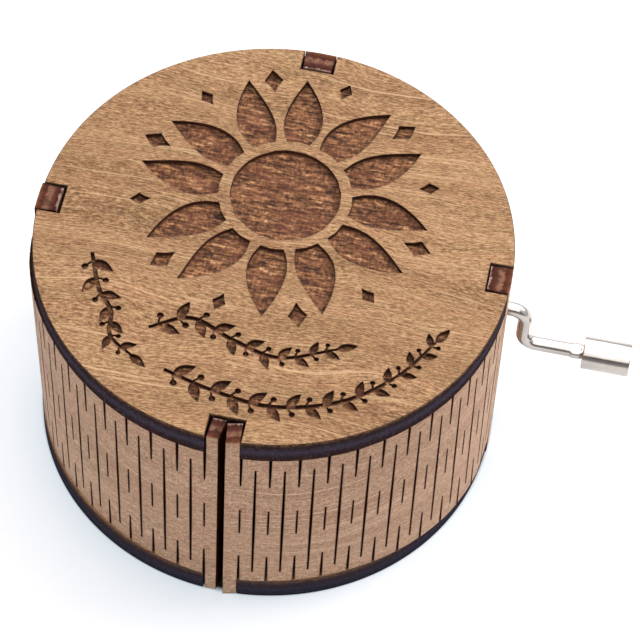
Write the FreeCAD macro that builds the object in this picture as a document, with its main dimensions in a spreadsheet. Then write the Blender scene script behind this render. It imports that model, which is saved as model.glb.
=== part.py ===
import FreeCAD, Part
import math
import os
import re

import Sketcher

# A hand-cranked music box: a round plywood case with a living-hinge wall, and inside it an
# eighteen-note movement whose cylinder is driven by a worm on the crank wire.
# Frame: the origin is the centre of the base disc's underside, +Z is up, +X points to the crank
# and -Y to the seam where the two ends of the wall meet. Lengths are millimetres, angles degrees.

Vector = FreeCAD.Vector
Rotation = FreeCAD.Rotation
Placement = FreeCAD.Placement

DIMENSIONS = [
    # case
    ("case_radius", 32.5, "both discs and the wall's outer face"),
    ("case_height", 40, "underside of the base to the top of the lid"),
    ("disc_ply", 4, "plywood of the lid and of the base"),
    ("wall_ply", 3, "plywood of the wall"),
    ("mortise_depth", 3.4, "from the rim inwards"),
    ("mortise_width", 4.6, "along the rim"),
    ("tab_width", 4.2, "along the rim"),
    ("tab_ply", 2.9, "the tab's flat, a little less than the wall"),
    ("tab_setback", 0.1, "tab ends below the lid's top and above the base's underside"),
    ("seam_mortise_left", 2.5, "from the middle of the seam"),
    ("seam_mortise_right", 2.27, "from the middle of the seam"),
    ("seam_mortise_depth", 3.5, "from the rim inwards"),
    ("seam_half_angle", 4.25, "middle of the seam to the first hinge column"),
    ("seam_tab_share", 0.9, "part of an end plate's width that runs on as a tab"),
    ("right_plate_outer_x", 0.38, "free edge of the right end plate, sprung outwards"),
    ("right_plate_outer_y", 32.85, "its distance in front of the axis"),
    ("right_plate_inner_x", 0.05, "the same edge on the inside"),
    ("right_plate_inner_y", 29.85, "its distance in front of the axis"),
    ("left_plate_outer_x", 0.7, "free edge of the left end plate"),
    ("left_plate_outer_y", 32.35, "its distance in front of the axis"),
    ("left_plate_inner_x", 0.2, "the same edge on the inside"),
    ("left_plate_inner_y", 29.45, "its distance in front of the axis"),
    ("hinge_periods", 52, "columns of long slits round the wall"),
    ("hinge_kerf", 0.3, "width of a slit"),
    ("long_slit_margin", 2.6, "wood left above and below a long slit"),
    ("short_slit_open", 6.8, "short slit that runs out of the wall's edge"),
    ("short_slit_middle", 6.2, "short slit at half height"),
    ("crank_hole_radius", 2.5, "hole in the wall that the crank wire passes"),
    # engraving in the lid
    ("engrave_depth", 0.45, "depth of the engraved rosette"),
    ("rosette_back", 7.3, "centre of the rosette behind the lid's axis"),
    ("rosette_hub_radius", 7.5, "round field in the middle"),
    ("petal_root", 8.9, "petal's inner tip from the rosette's centre"),
    ("petal_tip", 20.2, "petal's outer tip"),
    ("petal_width", 4.9, "across a petal's middle"),
    ("petal_count", 12, "petals round the field"),
    # crank
    ("crank_back", 8, "crank shaft behind the case's axis"),
    ("crank_rise", 22, "crank shaft above the base's underside"),
    ("wire_radius", 1, "crank wire"),
    ("wire_start", 3.4, "inner end of the wire, left of the axis"),
    ("arm_reach", 34.64, "middle of the crank arm from the axis"),
    ("crank_throw", 7.4, "shaft to handle"),
    ("wire_bend", 2.1, "radius of both bends, at the wire's middle"),
    ("wire_end", 50, "outer end of the wire"),
    ("pinch_start", 42, "pinched stop that keeps the knob out"),
    ("pinch_length", 0.9, "along the wire"),
    ("pinch_width", 2.9, "across the flattened wire"),
    ("pinch_height", 1.3, "over the flats"),
    ("peen_radius", 1.5, "peened head at the wire's end"),
    ("peen_height", 0.6, "thickness of the peened head"),
    ("knob_start", 43.37, "inner end of the knob"),
    ("knob_length", 6.74, "along the wire"),
    ("knob_radius", 2.35, "outside of the knob"),
    ("knob_edge", 0.35, "chamfer round both ends"),
    ("knob_recess_radius", 1.75, "counterbore that holds the peened head"),
    ("knob_recess_depth", 0.81, "depth of that counterbore"),
    ("running_gap", 0.05, "radial clearance of everything that turns"),
    ("overcut", 1, "cuts run past the surface they open into by this"),
    # movement: bed
    ("bed_left", 22, "bedplate's left edge from the axis"),
    ("bed_right", 22.5, "right edge"),
    ("bed_front", 17, "front edge"),
    ("bed_back", 18, "back edge"),
    ("bed_corner", 6, "corner radius"),
    ("bed_thick", 2.2, "floor of the bedplate"),
    ("window_half", 7.8, "window under the cylinder, half its length across"),
    ("window_front", 14.4, "window's front edge"),
    ("window_back", 10.2, "window's back edge"),
    ("upright_thick", 2, "cast upright that carries the arbor's front end"),
    ("upright_half", 4.5, "half the upright's width"),
    ("upright_over", 3.4, "upright above the arbor"),
    ("boss_radius", 2.4, "bosses for the mounting screws"),
    ("boss_height", 3.2, "above the bedplate's floor"),
    ("mount_across", 18, "mounting screws left and right of the axis"),
    ("mount_front", 12, "front pair"),
    ("mount_back", 13, "back pair"),
    # movement: cylinder
    ("cylinder_right", 8, "cylinder's axis right of the case's axis"),
    ("cylinder_rise", 13.6, "cylinder's axis above the base's underside"),
    ("barrel_radius", 6.5, "outside of the brass tube"),
    ("barrel_wall", 0.5, "its wall"),
    ("barrel_front", 14.2, "front end of the barrel"),
    ("barrel_back", 6, "back end of the barrel"),
    ("pin_tip_radius", 7.1, "tips of the raised tongues"),
    ("pin_width", 0.46, "tongue along the cylinder"),
    ("pin_thick", 0.34, "tongue round the cylinder"),
    ("beat_count", 36, "places for a tongue round the cylinder"),
    ("cap_thick", 1.2, "disc in the barrel's front end"),
    ("arbor_radius", 1.25, "arbor inside the barrel"),
    ("pivot_radius", 0.9, "turned-down ends of the arbor"),
    ("end_play", 0.1, "arbor shoulder to its bearing"),
    ("pivot_length", 2.1, "length of each turned-down end"),
    # movement: worm gear
    ("wheel_teeth", 26, "teeth of the worm wheel"),
    ("gear_module", 0.5, "module of wheel and worm"),
    ("wheel_face", 3, "width of the wheel"),
    ("spigot_length", 1.7, "the wheel's spigot, which closes the barrel's back end"),
    ("gap_half_pitch", 0.465, "half a tooth gap at the pitch circle"),
    ("gear_clearance", 0.125, "tip to root"),
    ("pressure_angle", 20, "flank angle"),
    ("lead_angle", 7.5, "of the worm at its pitch radius"),
    ("worm_pitch_radius", 1.9, "pitch radius of the worm"),
    ("worm_half_thread", 0.32, "half the thread at the pitch radius"),
    ("worm_turns", 3, "turns of thread"),
    ("thread_bite", 0.1, "foot of the thread inside the worm's core"),
    ("worm_length", 6.2, "length of the worm"),
    # movement: posts, bracket, shaft hardware
    ("sheet_thick", 1.4, "steel sheet of the posts and the bracket"),
    ("post_inner", 0.6, "inner post's face left of the axis"),
    ("post_outer", 16.6, "outer post's face right of the axis"),
    ("post_half", 2.2, "half a post's width"),
    ("post_eye_radius", 2.8, "round eye at a post's top"),
    ("post_foot", 5.9, "length of a post's foot"),
    ("post_screw", 3.8, "foot screw from the post's face"),
    ("collar_radius", 2.2, "collar on the wire"),
    ("collar_length", 1.4, "collar along the wire"),
    ("clip_radius", 2.1, "retaining clip"),
    ("clip_thick", 0.5, "its thickness"),
    ("clip_mouth", 1.5, "width of its opening"),
    ("shaft_play", 0.15, "collar and clip to the inner post"),
    ("bracket_face", 10.3, "arbor bracket's face behind the axis"),
    ("bracket_foot", 7.2, "its foot, front to back"),
    ("bracket_half", 7.4, "half its foot's width"),
    ("bracket_screw_across", 5.2, "its screws left and right of the arbor"),
    ("bracket_screw_back", 4.4, "its screws behind its face"),
    # movement: comb
    ("tooth_count", 18, "teeth of the comb"),
    ("tooth_pitch", 1.05, "tooth to tooth"),
    ("tooth_gap", 0.25, "slot between two teeth"),
    ("comb_thick", 1, "comb plate"),
    ("comb_front", 13.6, "front edge of the comb"),
    ("comb_left", 20.3, "back edge of the comb, left of the axis"),
    ("comb_tip_radius", 7.3, "tooth tips from the cylinder's axis"),
    ("treble_slot", 8.4, "shortest slot"),
    ("slot_step", 0.27, "each slot is longer than the last by this"),
    ("seat_margin", 0.5, "comb overhangs its seat by this"),
    ("comb_screw_left", 16.6, "comb screws left of the axis"),
    ("comb_screw_front", 9.2, "front comb screw"),
    ("comb_screw_back", 1.2, "back comb screw"),
    ("weight_count", 6, "bass teeth that carry a tuning weight"),
    ("weight_length", 2.8, "weight along its tooth"),
    ("weight_width", 0.7, "weight across its tooth"),
    ("weight_height", 2.4, "deepest weight"),
    ("weight_step", 0.3, "each weight is shallower than the last by this"),
    ("weight_setback", 0.5, "weight behind the tooth's tip"),
    # screws
    ("comb_screw_radius", 1.25, "shank"),
    ("comb_screw_length", 4.8, "under the head"),
    ("small_screw_radius", 0.9, "shank of the post and bracket screws"),
    ("small_screw_length", 3.3, "under the head"),
    ("pan_head_factor", 1.75, "head radius over shank radius"),
    ("pan_head_height", 1.2, "head of a pan-head screw"),
    ("thread_spare", 0.4, "threaded hole deeper than its screw"),
    ("mount_screw_radius", 1, "shank of a mounting screw"),
    ("mount_screw_end", 8.2, "its tip above the base's underside"),
    ("mount_head_radius", 2.2, "its countersunk head"),
    ("mount_head_sunk", 0.15, "head below the base's underside"),
    ("mount_hole_radius", 1.1, "hole in the base disc"),
]
NAMES = {name for name, value, meaning in DIMENSIONS}

document = FreeCAD.newDocument("DiscMusicBox")
sheet = document.addObject("Spreadsheet::Sheet", "dims")
nodes = []


def fill_sheet():
    for row, (name, size, meaning) in enumerate(DIMENSIONS, start=1):
        sheet.set(f"A{row}", name)
        sheet.set(f"B{row}", str(size))
        sheet.set(f"C{row}", meaning)
        sheet.setAlias(f"B{row}", name)
    document.recompute()


def formula(text):
    """The same text with the sheet's name written before each of its aliases."""
    def with_sheet(word):
        return f"dims.{word.group()}" if word.group() in NAMES else word.group()
    return re.sub(r"[a-z][a-z_]+", with_sheet, text)


def value(text):
    """What a formula comes to now."""
    return float(sheet.evalExpression(formula(text)))


def bind(target, **formulas):
    """Tie properties to the sheet. Two underscores in a name stand for a dot."""
    for name, text in formulas.items():
        target.setExpression(name.replace("__", "."), formula(text))


def place(target, x="0", y="0", z="0", axis=None, turn="0"):
    """Bind a sub-part's Placement: its base point, and a turn about one axis."""
    if axis is not None:
        target.Placement = Placement(Vector(), Rotation(Vector(*axis), value(turn)))
    bind(target, Placement__Base__x=x, Placement__Base__y=y, Placement__Base__z=z)


def keep(target, label):
    """Name a finished sub-part and list it for export."""
    target.Label = label
    nodes.append(target)
    return target


# ---------------------------------------------------------------- sketches

def origin_item(body, role):
    return next(item for item in body.Origin.OriginFeatures if item.Role == role)


def new_sketch(body, role, name, lift="0", swing="0", rise="0"):
    """A sketch on a plane of its body's origin: lifted off it along the plane's normal, swung
    about its own upright axis, with its origin moved up that axis by rise."""
    sketch = body.newObject("Sketcher::SketchObject", name)
    sketch.AttachmentSupport = [(origin_item(body, role), "")]
    sketch.MapMode = "FlatFace"
    sketch.AttachmentOffset = Placement(Vector(), Rotation(Vector(0, 1, 0), value(swing)))
    bind(sketch, AttachmentOffset__Base__z=lift, AttachmentOffset__Base__y=rise)
    return sketch


def fix_point(sketch, geometry, end, x, y):
    """Dimension an end of a line or arc (1 or 2), or a centre (3), from the sketch's origin."""
    for kind, text in (("DistanceX", x), ("DistanceY", y)):
        index = sketch.addConstraint(Sketcher.Constraint(kind, -1, 1, geometry, end, value(text)))
        sketch.setExpression(f"Constraints[{index}]", formula(text))


def fix_radius(sketch, geometry, radius):
    index = sketch.addConstraint(Sketcher.Constraint("Radius", geometry, value(radius)))
    sketch.setExpression(f"Constraints[{index}]", formula(radius))


def join(sketch, first, first_end, second, second_end):
    sketch.addConstraint(Sketcher.Constraint("Coincident", first, first_end, second, second_end))


def polygon(sketch, corners):
    count = len(corners)
    spots = [Vector(value(x), value(y), 0) for x, y in corners]
    sides = [
        sketch.addGeometry(Part.LineSegment(spots[index], spots[(index + 1) % count]))
        for index in range(count)
    ]
    for index, side in enumerate(sides):
        join(sketch, side, 2, sides[(index + 1) % count], 1)
    for side, (x, y) in zip(sides, corners):
        fix_point(sketch, side, 1, x, y)


def rectangle(sketch, left, right, low, high):
    polygon(sketch, [(left, low), (right, low), (right, high), (left, high)])


def circle(sketch, x, y, radius):
    spot = Vector(value(x), value(y), 0)
    index = sketch.addGeometry(Part.Circle(spot, Vector(0, 0, 1), value(radius)))
    fix_point(sketch, index, 3, x, y)
    fix_radius(sketch, index, radius)


def pointed_oval(sketch, low, high, width):
    """Two equal arcs that meet in a tip at each end, upright on the sketch's vertical axis."""
    bottom = Vector(0, value(low), 0)
    top = Vector(0, value(high), 0)
    side = Vector(value(width) / 2, (bottom.y + top.y) / 2, 0)
    other_side = Vector(-side.x, side.y, 0)
    right = sketch.addGeometry(Part.Arc(bottom, side, top))
    left = sketch.addGeometry(Part.Arc(top, other_side, bottom))
    join(sketch, right, 2, left, 1)
    join(sketch, left, 2, right, 1)
    fix_point(sketch, right, 1, "0", low)
    fix_point(sketch, right, 2, "0", high)
    radius = f"(({high} - {low}) ^ 2 + ({width}) ^ 2) / (4 * ({width}))"
    fix_radius(sketch, right, radius)
    fix_radius(sketch, left, radius)


# ---------------------------------------------------------------- features

def new_body(name):
    return document.addObject("PartDesign::Body", name)


def pad(body, sketch, length, symmetric=False):
    feature = body.newObject("PartDesign::Pad", "Pad")
    feature.Profile = sketch
    feature.SideType = "Symmetric" if symmetric else "One side"
    bind(feature, Length=length)
    sketch.Visibility = False
    return feature


def pocket(body, sketch, length, symmetric=False):
    """Cut along the sketch's own normal, or to both sides of its plane."""
    feature = body.newObject("PartDesign::Pocket", "Pocket")
    feature.Profile = sketch
    feature.Reversed = True
    feature.SideType = "Symmetric" if symmetric else "One side"
    bind(feature, Length=length)
    sketch.Visibility = False
    return feature


def revolve(body, sketch, axis):
    feature = body.newObject("PartDesign::Revolution", "Revolution")
    feature.Profile = sketch
    feature.ReferenceAxis = (sketch, [axis])
    feature.Angle = 360
    return feature


def polar(body, feature, axis, count, turn="360"):
    """Repeat a feature about an axis, given as an object and the name of its axis."""
    pattern = body.newObject("PartDesign::PolarPattern", "PolarPattern")
    pattern.Originals = [feature]
    pattern.Axis = axis
    bind(pattern, Angle=turn, Occurrences=count)
    body.Tip = pattern
    return pattern


def body_axis(body, role):
    return (origin_item(body, role), [""])


def cylinder(radius, height, x="0", y="0", z="0", axis=None, turn="0"):
    item = document.addObject("Part::Cylinder", "Cylinder")
    bind(item, Radius=radius, Height=height)
    place(item, x, y, z, axis, turn)
    return item


def box(length, width, height, x, y, z):
    item = document.addObject("Part::Box", "Box")
    bind(item, Length=length, Width=width, Height=height)
    place(item, x, y, z)
    return item


def cut(base, tool):
    item = document.addObject("Part::Cut", "Cut")
    item.Base = base
    item.Tool = tool
    return item


def fuse(parts):
    item = document.addObject("Part::MultiFuse", "Fusion")
    item.Shapes = parts
    return item


def group(parts):
    """Several separate solids as one sub-part."""
    item = document.addObject("Part::Compound", "Group")
    item.Links = parts
    return item


ALONG_X = {"axis": (0, 1, 0), "turn": "90"}
ALONG_Y = {"axis": (1, 0, 0), "turn": "-90"}


def ring(outer, inner, length, x, y, z, direction):
    """A plain bush or disc with a hole, its axis along X or Y."""
    outside = cylinder(outer, length, x, y, z, **direction)
    hole = cylinder(inner, length, x, y, z, **direction)
    return cut(outside, hole)


# ---------------------------------------------------------------- case

WALL_HEIGHT = "(case_height - 2 * disc_ply)"
TAB_HEIGHT = "(case_height - 2 * tab_setback)"


def plywood_disc(name):
    """One disc of the case with its three side mortises and the wider one at the seam."""
    body = new_body(name)
    face = new_sketch(body, "XY_Plane", "Face")
    circle(face, "0", "0", "case_radius")
    pad(body, face, "disc_ply")

    mortise = new_sketch(body, "XY_Plane", "Mortise")
    half = "mortise_width / 2"
    rectangle(mortise, "case_radius - mortise_depth", "case_radius + overcut", f"-{half}", half)
    side_mortise = pocket(body, mortise, "disc_ply")
    polar(body, side_mortise, body_axis(body, "Z_Axis"), "3", "180")

    seam = new_sketch(body, "XY_Plane", "SeamMortise")
    rectangle(
        seam,
        "-seam_mortise_left",
        "seam_mortise_right",
        "-case_radius - overcut",
        "-case_radius + seam_mortise_depth",
    )
    body.Tip = pocket(body, seam, "disc_ply")
    return body


def make_lid():
    """The lid, with a rosette cut into its top face: a round field and pointed petals."""
    body = plywood_disc("Lid")
    floor = {"lift": "disc_ply - engrave_depth", "rise": "rosette_back"}

    field = new_sketch(body, "XY_Plane", "RosetteField", **floor)
    circle(field, "0", "0", "rosette_hub_radius")
    pocket(body, field, "engrave_depth")

    petal = new_sketch(body, "XY_Plane", "Petal", **floor)
    pointed_oval(petal, "petal_root", "petal_tip", "petal_width")
    polar(body, pocket(body, petal, "engrave_depth"), (petal, ["N_Axis"]), "petal_count")

    place(body, z="case_height - disc_ply")
    keep(body, "lid_disc")


def make_base():
    """The base: holes for the mounting screws, countersunk from below."""
    body = plywood_disc("Base")
    spots = new_sketch(body, "XY_Plane", "MountingHoles")
    for across in ("-mount_across", "mount_across"):
        for along in ("-mount_front", "mount_back"):
            circle(spots, across, along, "mount_hole_radius")
    document.recompute()
    hole = body.newObject("PartDesign::Hole", "CountersunkHoles")
    hole.Profile = spots
    hole.Reversed = True
    hole.DepthType = "ThroughAll"
    hole.HoleCutType = "Countersink"
    bind(
        hole,
        Diameter="2 * mount_hole_radius",
        HoleCutDiameter="2 * (mount_head_radius + mount_head_sunk)",
    )
    hole.HoleCutCountersinkAngle = 90
    body.Tip = hole
    keep(body, "base_disc")


def end_plate(side, share):
    """Plan of one flat end of the wall's strip, from its free edge towards the first hinge column.

    side is "right" or "left", and share is how much of the plate's width the outline takes.
    """
    sign = "" if side == "right" else "-"
    corners = []
    for face, radius in (("inner", "(case_radius - wall_ply)"), ("outer", "case_radius")):
        free_x = f"{side}_plate_{face}_x"
        free_y = f"{side}_plate_{face}_y"
        if side == "left":
            free_x = f"(-{free_x})"
        column_x = f"{sign}{radius} * sin(seam_half_angle)"
        column_y = f"{radius} * cos(seam_half_angle)"
        free = (free_x, f"-{free_y}")
        near = (
            f"{free_x} + ({column_x} - {free_x}) * {share}",
            f"-({free_y} + ({column_y} - {free_y}) * {share})",
        )
        corners += [free, near] if face == "inner" else [near, free]
    return corners


def make_end_plate(side):
    """One flat end of the strip, which runs on above and below as a tab."""
    body = new_body(f"EndPlate_{side}")
    plate = new_sketch(body, "XY_Plane", "Plate", lift="disc_ply")
    polygon(plate, end_plate(side, "1"))
    pad(body, plate, WALL_HEIGHT)
    tab = new_sketch(body, "XY_Plane", "Tab", lift="tab_setback")
    polygon(tab, end_plate(side, "seam_tab_share"))
    body.Tip = pad(body, tab, TAB_HEIGHT)
    return body


def hinge_angles():
    """Where the columns of slits stand round the wall: short ones first and last, long between."""
    first = -90 + value("seam_half_angle")
    periods = int(value("hinge_periods"))
    step = value("(360 - 2 * seam_half_angle) / hinge_periods")
    short = [first + column * step for column in range(periods + 1)]
    long = [first + (column + 0.5) * step for column in range(periods)]
    return short, long


def bent_strip():
    """The strip between its end plates. It bends only in the slits and is flat between them."""
    short, long = hinge_angles()
    corners = []
    for radius, angles in (
        (value("case_radius"), sorted(short + long)),
        (value("case_radius - wall_ply"), sorted(short + long, reverse=True)),
    ):
        for angle in angles:
            turn = math.radians(angle)
            corners.append(Vector(math.cos(turn), math.sin(turn), 0) * radius)
    plan = Part.Face(Part.makePolygon(corners + corners[:1]))
    strip = document.addObject("Part::Feature", "BentStrip")
    strip.Shape = plan.extrude(Vector(0, 0, value(WALL_HEIGHT)))
    place(strip, z="disc_ply")
    return strip


def slit_blades():
    """Everything that is cut out of the wall to make the hinge: one thin blade for each slit."""
    kerf = value("hinge_kerf")
    depth = value("wall_ply + 2 * overcut")
    radius = value("case_radius + overcut") - depth
    low = value("disc_ply")
    high = value("case_height - disc_ply")
    middle = value("case_height / 2")
    opening = value("short_slit_open")
    half = value("short_slit_middle / 2")
    margin = value("long_slit_margin")

    def blade(angle, bottom, top):
        solid = Part.makeBox(depth, kerf, top - bottom, Vector(radius, -kerf / 2, bottom))
        solid.rotate(Vector(), Vector(0, 0, 1), angle)
        return solid

    short, long = hinge_angles()
    blades = [blade(angle, low + margin, high - margin) for angle in long]
    for angle in short:
        blades.append(blade(angle, low, low + opening))
        blades.append(blade(angle, middle - half, middle + half))
        blades.append(blade(angle, high - opening, high))
    cutter = document.addObject("Part::Feature", "SlitBlades")
    cutter.Shape = Part.makeCompound(blades)
    return cutter


def make_wall():
    """The living-hinge wall: a strip of ply, slit in columns so that it bends, with its tabs."""
    parts = [bent_strip(), make_end_plate("right"), make_end_plate("left")]
    for turn in ("0", "90", "180"):
        tab = box("tab_ply", "tab_width", TAB_HEIGHT, "0", "0", "0")
        reach = value("case_radius - wall_ply")
        half = value("tab_width / 2")
        around = Rotation(Vector(0, 0, 1), float(turn))
        corner = around.multVec(Vector(reach, -half, 0))
        tab.Placement = Placement(corner, around)
        bind(
            tab,
            Placement__Base__x=f"(case_radius - wall_ply) * cos({turn}) + tab_width / 2 * sin({turn})",
            Placement__Base__y=f"(case_radius - wall_ply) * sin({turn}) - tab_width / 2 * cos({turn})",
            Placement__Base__z="tab_setback",
        )
        parts.append(tab)
    hole = cylinder(
        "crank_hole_radius",
        "case_radius + overcut",
        y="crank_back",
        z="crank_rise",
        **ALONG_X,
    )
    keep(cut(cut(fuse(parts), slit_blades()), hole), "hinge_wall")


# ---------------------------------------------------------------- crank

def make_crank_wire():
    """Shaft, arm and handle in one bent wire, with a pinched stop and a peened end."""
    body = new_body("CrankWire")
    route = new_sketch(body, "XZ_Plane", "Route")
    shaft_end = "arm_reach - wire_bend"
    arm_top = "-wire_bend"
    arm_foot = "wire_bend - crank_throw"
    handle_start = "arm_reach + wire_bend"
    low = "-crank_throw"

    def spot(x, y):
        return Vector(value(x), value(y), 0)

    def arc_middle(centre_x, centre_y, angle):
        reach = value("wire_bend")
        turn = math.radians(angle)
        return spot(centre_x, centre_y) + Vector(math.cos(turn), math.sin(turn), 0) * reach

    shaft = route.addGeometry(Part.LineSegment(spot("-wire_start", "0"), spot(shaft_end, "0")))
    upper = route.addGeometry(Part.Arc(
        spot(shaft_end, "0"),
        arc_middle(shaft_end, arm_top, 45),
        spot("arm_reach", arm_top),
    ))
    arm = route.addGeometry(Part.LineSegment(spot("arm_reach", arm_top), spot("arm_reach", arm_foot)))
    lower = route.addGeometry(Part.Arc(
        spot("arm_reach", arm_foot),
        arc_middle(handle_start, arm_foot, 225),
        spot(handle_start, low),
    ))
    handle = route.addGeometry(Part.LineSegment(spot(handle_start, low), spot("wire_end", low)))
    join(route, shaft, 2, upper, 2)
    join(route, upper, 1, arm, 1)
    join(route, arm, 2, lower, 1)
    join(route, lower, 2, handle, 1)
    fix_point(route, shaft, 1, "-wire_start", "0")
    fix_point(route, shaft, 2, shaft_end, "0")
    fix_point(route, arm, 1, "arm_reach", arm_top)
    fix_point(route, arm, 2, "arm_reach", arm_foot)
    fix_point(route, handle, 1, handle_start, low)
    fix_point(route, handle, 2, "wire_end", low)
    fix_radius(route, upper, "wire_bend")
    fix_radius(route, lower, "wire_bend")

    section = new_sketch(body, "YZ_Plane", "WireSection", lift="-wire_start")
    circle(section, "0", "0", "wire_radius")
    wire = body.newObject("PartDesign::AdditivePipe", "BentWire")
    wire.Profile = section
    wire.Spine = (route, [])

    flats = new_sketch(body, "YZ_Plane", "PinchFlats", lift="pinch_start")
    middle = "-crank_throw"
    half = "pinch_height / 2"
    side = "wire_radius + overcut"
    rectangle(flats, f"-({side})", side, f"{middle} + {half}", f"{middle} + {side}")
    rectangle(flats, f"-({side})", side, f"{middle} - ({side})", f"{middle} - {half}")
    pocket(body, flats, "pinch_length")
    ears = new_sketch(body, "YZ_Plane", "PinchEars", lift="pinch_start")
    wide = "pinch_width / 2"
    rectangle(ears, f"-{wide}", wide, f"{middle} - {half}", f"{middle} + {half}")
    pad(body, ears, "pinch_length")

    peen = new_sketch(body, "YZ_Plane", "PeenedEnd", lift="wire_end - peen_height")
    circle(peen, "0", middle, "peen_radius")
    body.Tip = pad(body, peen, "peen_height")
    place(body, y="crank_back", z="crank_rise")
    keep(body, "crank_rod")


def make_knob():
    """A turned sleeve, bored for the wire and recessed at its outer end for the peened head."""
    body = new_body("Knob")
    profile = new_sketch(body, "XZ_Plane", "KnobProfile")
    bore = "wire_radius + running_gap"
    edge = "knob_radius - knob_edge"
    recess = "knob_length - knob_recess_depth"
    polygon(profile, [
        ("0", bore),
        (recess, bore),
        (recess, "knob_recess_radius"),
        ("knob_length", "knob_recess_radius"),
        ("knob_length", edge),
        ("knob_length - knob_edge", "knob_radius"),
        ("knob_edge", "knob_radius"),
        ("0", edge),
    ])
    body.Tip = revolve(body, profile, "H_Axis")
    place(body, x="knob_start", y="crank_back", z="crank_rise - crank_throw")
    keep(body, "crank_knob")


def make_shaft_hardware():
    """Collar and clip on the wire, one each side of the inner post."""
    collar = ring(
        "collar_radius",
        "wire_radius",
        "collar_length",
        "shaft_play - post_inner",
        "crank_back",
        "crank_rise",
        ALONG_X,
    )
    keep(collar, "shaft_collar")

    clip_x = "-(post_inner + sheet_thick + shaft_play + clip_thick)"
    clip_ring = ring(
        "clip_radius", "wire_radius", "clip_thick", clip_x, "crank_back", "crank_rise", ALONG_X
    )
    mouth = box(
        "clip_thick",
        "clip_mouth",
        "clip_radius + overcut",
        clip_x,
        "crank_back - clip_mouth / 2",
        "crank_rise",
    )
    keep(cut(clip_ring, mouth), "retaining_clip")


# ---------------------------------------------------------------- worm gear

WORM_PITCH = "(pi * gear_module)"
WHEEL_PITCH_RADIUS = "(wheel_teeth * gear_module / 2)"
FLANK = "tan(pressure_angle)"


def make_worm():
    """A right-hand single-start worm, pressed on the crank wire above the wheel."""
    body = new_body("Worm")
    core = new_sketch(body, "YZ_Plane", "WormCore", lift="-worm_length / 2")
    circle(core, "0", "0", "worm_pitch_radius - gear_module - gear_clearance")
    pad(body, core, "worm_length")

    thread = new_sketch(body, "XZ_Plane", "ThreadProfile")
    start = f"-worm_turns / 2 * {WORM_PITCH}"
    root = "worm_pitch_radius - gear_module - gear_clearance - thread_bite"
    tip = "worm_pitch_radius + gear_module"

    def half_at(radius):
        return f"(worm_half_thread - ({radius} - worm_pitch_radius) * {FLANK})"

    polygon(thread, [
        (f"{start} - {half_at(root)}", root),
        (f"{start} + {half_at(root)}", root),
        (f"{start} + {half_at(tip)}", tip),
        (f"{start} - {half_at(tip)}", tip),
    ])
    helix = body.newObject("PartDesign::AdditiveHelix", "Thread")
    helix.Profile = thread
    helix.ReferenceAxis = (thread, ["H_Axis"])
    helix.Mode = "pitch-turns-angle"
    bind(helix, Pitch=WORM_PITCH, Turns="worm_turns")

    bore = new_sketch(body, "YZ_Plane", "WormBore", lift="-worm_length / 2")
    circle(bore, "0", "0", "wire_radius")
    body.Tip = pocket(body, bore, "worm_length")
    place(body, x="cylinder_right", y="crank_back", z="crank_rise")
    keep(body, "worm")


def make_wheel():
    """The wheel, with its tooth gaps cut on the slant to take the worm's thread."""
    body = new_body("WormWheel")
    tip = f"{WHEEL_PITCH_RADIUS} + gear_module"
    root = f"{WHEEL_PITCH_RADIUS} - gear_module - gear_clearance"
    blank = new_sketch(body, "XZ_Plane", "Blank")
    circle(blank, "0", "0", tip)
    pad(body, blank, "wheel_face", symmetric=True)
    spigot = new_sketch(body, "XZ_Plane", "Spigot")
    circle(spigot, "0", "0", "barrel_radius - barrel_wall")
    pad(body, spigot, "wheel_face / 2 + spigot_length")
    bore = new_sketch(body, "XZ_Plane", "WheelBore")
    circle(bore, "0", "0", "arbor_radius")
    pocket(body, bore, "2 * (wheel_face + spigot_length)", symmetric=True)

    gap = new_sketch(body, "XZ_Plane", "ToothGap", swing="-lead_angle")
    over = f"{tip} + overcut"

    def half_at(radius):
        return f"(gap_half_pitch + ({radius} - {WHEEL_PITCH_RADIUS}) * {FLANK})"

    polygon(gap, [
        (f"-{half_at(root)}", root),
        (half_at(root), root),
        (half_at(over), over),
        (f"-{half_at(over)}", over),
    ])
    tooth_gap = pocket(body, gap, "wheel_face / cos(lead_angle) + gear_module", symmetric=True)
    polar(body, tooth_gap, body_axis(body, "Y_Axis"), "wheel_teeth")
    place(body, x="cylinder_right", y="crank_back", z="cylinder_rise")
    keep(body, "worm_wheel")


# ---------------------------------------------------------------- cylinder

# The tongues' scatter: short broken chords, never two neighbours in one row.
CHORD_STEP = 5
ROW_STEP = 7
SCATTER_CYCLE = 9


def has_tongue(tooth, beat):
    on_chord = (beat * CHORD_STEP + tooth * ROW_STEP) % SCATTER_CYCLE == 0
    return on_chord and (beat + tooth) % 2 == 0


def make_barrel():
    """A brass tube with tongues raised from it, one row of places for each tooth of the comb."""
    length = "barrel_front + barrel_back"
    tube = ring(
        "barrel_radius",
        "barrel_radius - barrel_wall",
        length,
        "cylinder_right",
        "-barrel_front",
        "cylinder_rise",
        ALONG_Y,
    )
    width = value("pin_width")
    thick = value("pin_thick")
    sunk = value("barrel_radius - barrel_wall / 2")
    rise = value("pin_tip_radius") - sunk
    axis_point = Vector(value("cylinder_right"), 0, value("cylinder_rise"))
    beats = int(value("beat_count"))
    tongues = []
    for tooth in range(int(value("tooth_count"))):
        row = value("-comb_front") + (tooth + 0.5) * value("tooth_pitch")
        for beat in range(beats):
            if not has_tongue(tooth, beat):
                continue
            corner = axis_point + Vector(-thick / 2, row - width / 2, sunk)
            tongue = Part.makeBox(thick, width, rise, corner)
            tongue.rotate(axis_point, Vector(0, 1, 0), (beat + 0.5) * 360 / beats)
            tongues.append(tongue)
    pins = document.addObject("Part::Feature", "Tongues")
    pins.Shape = Part.makeCompound(tongues)
    keep(fuse([tube, pins]), "cylinder_barrel")


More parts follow.
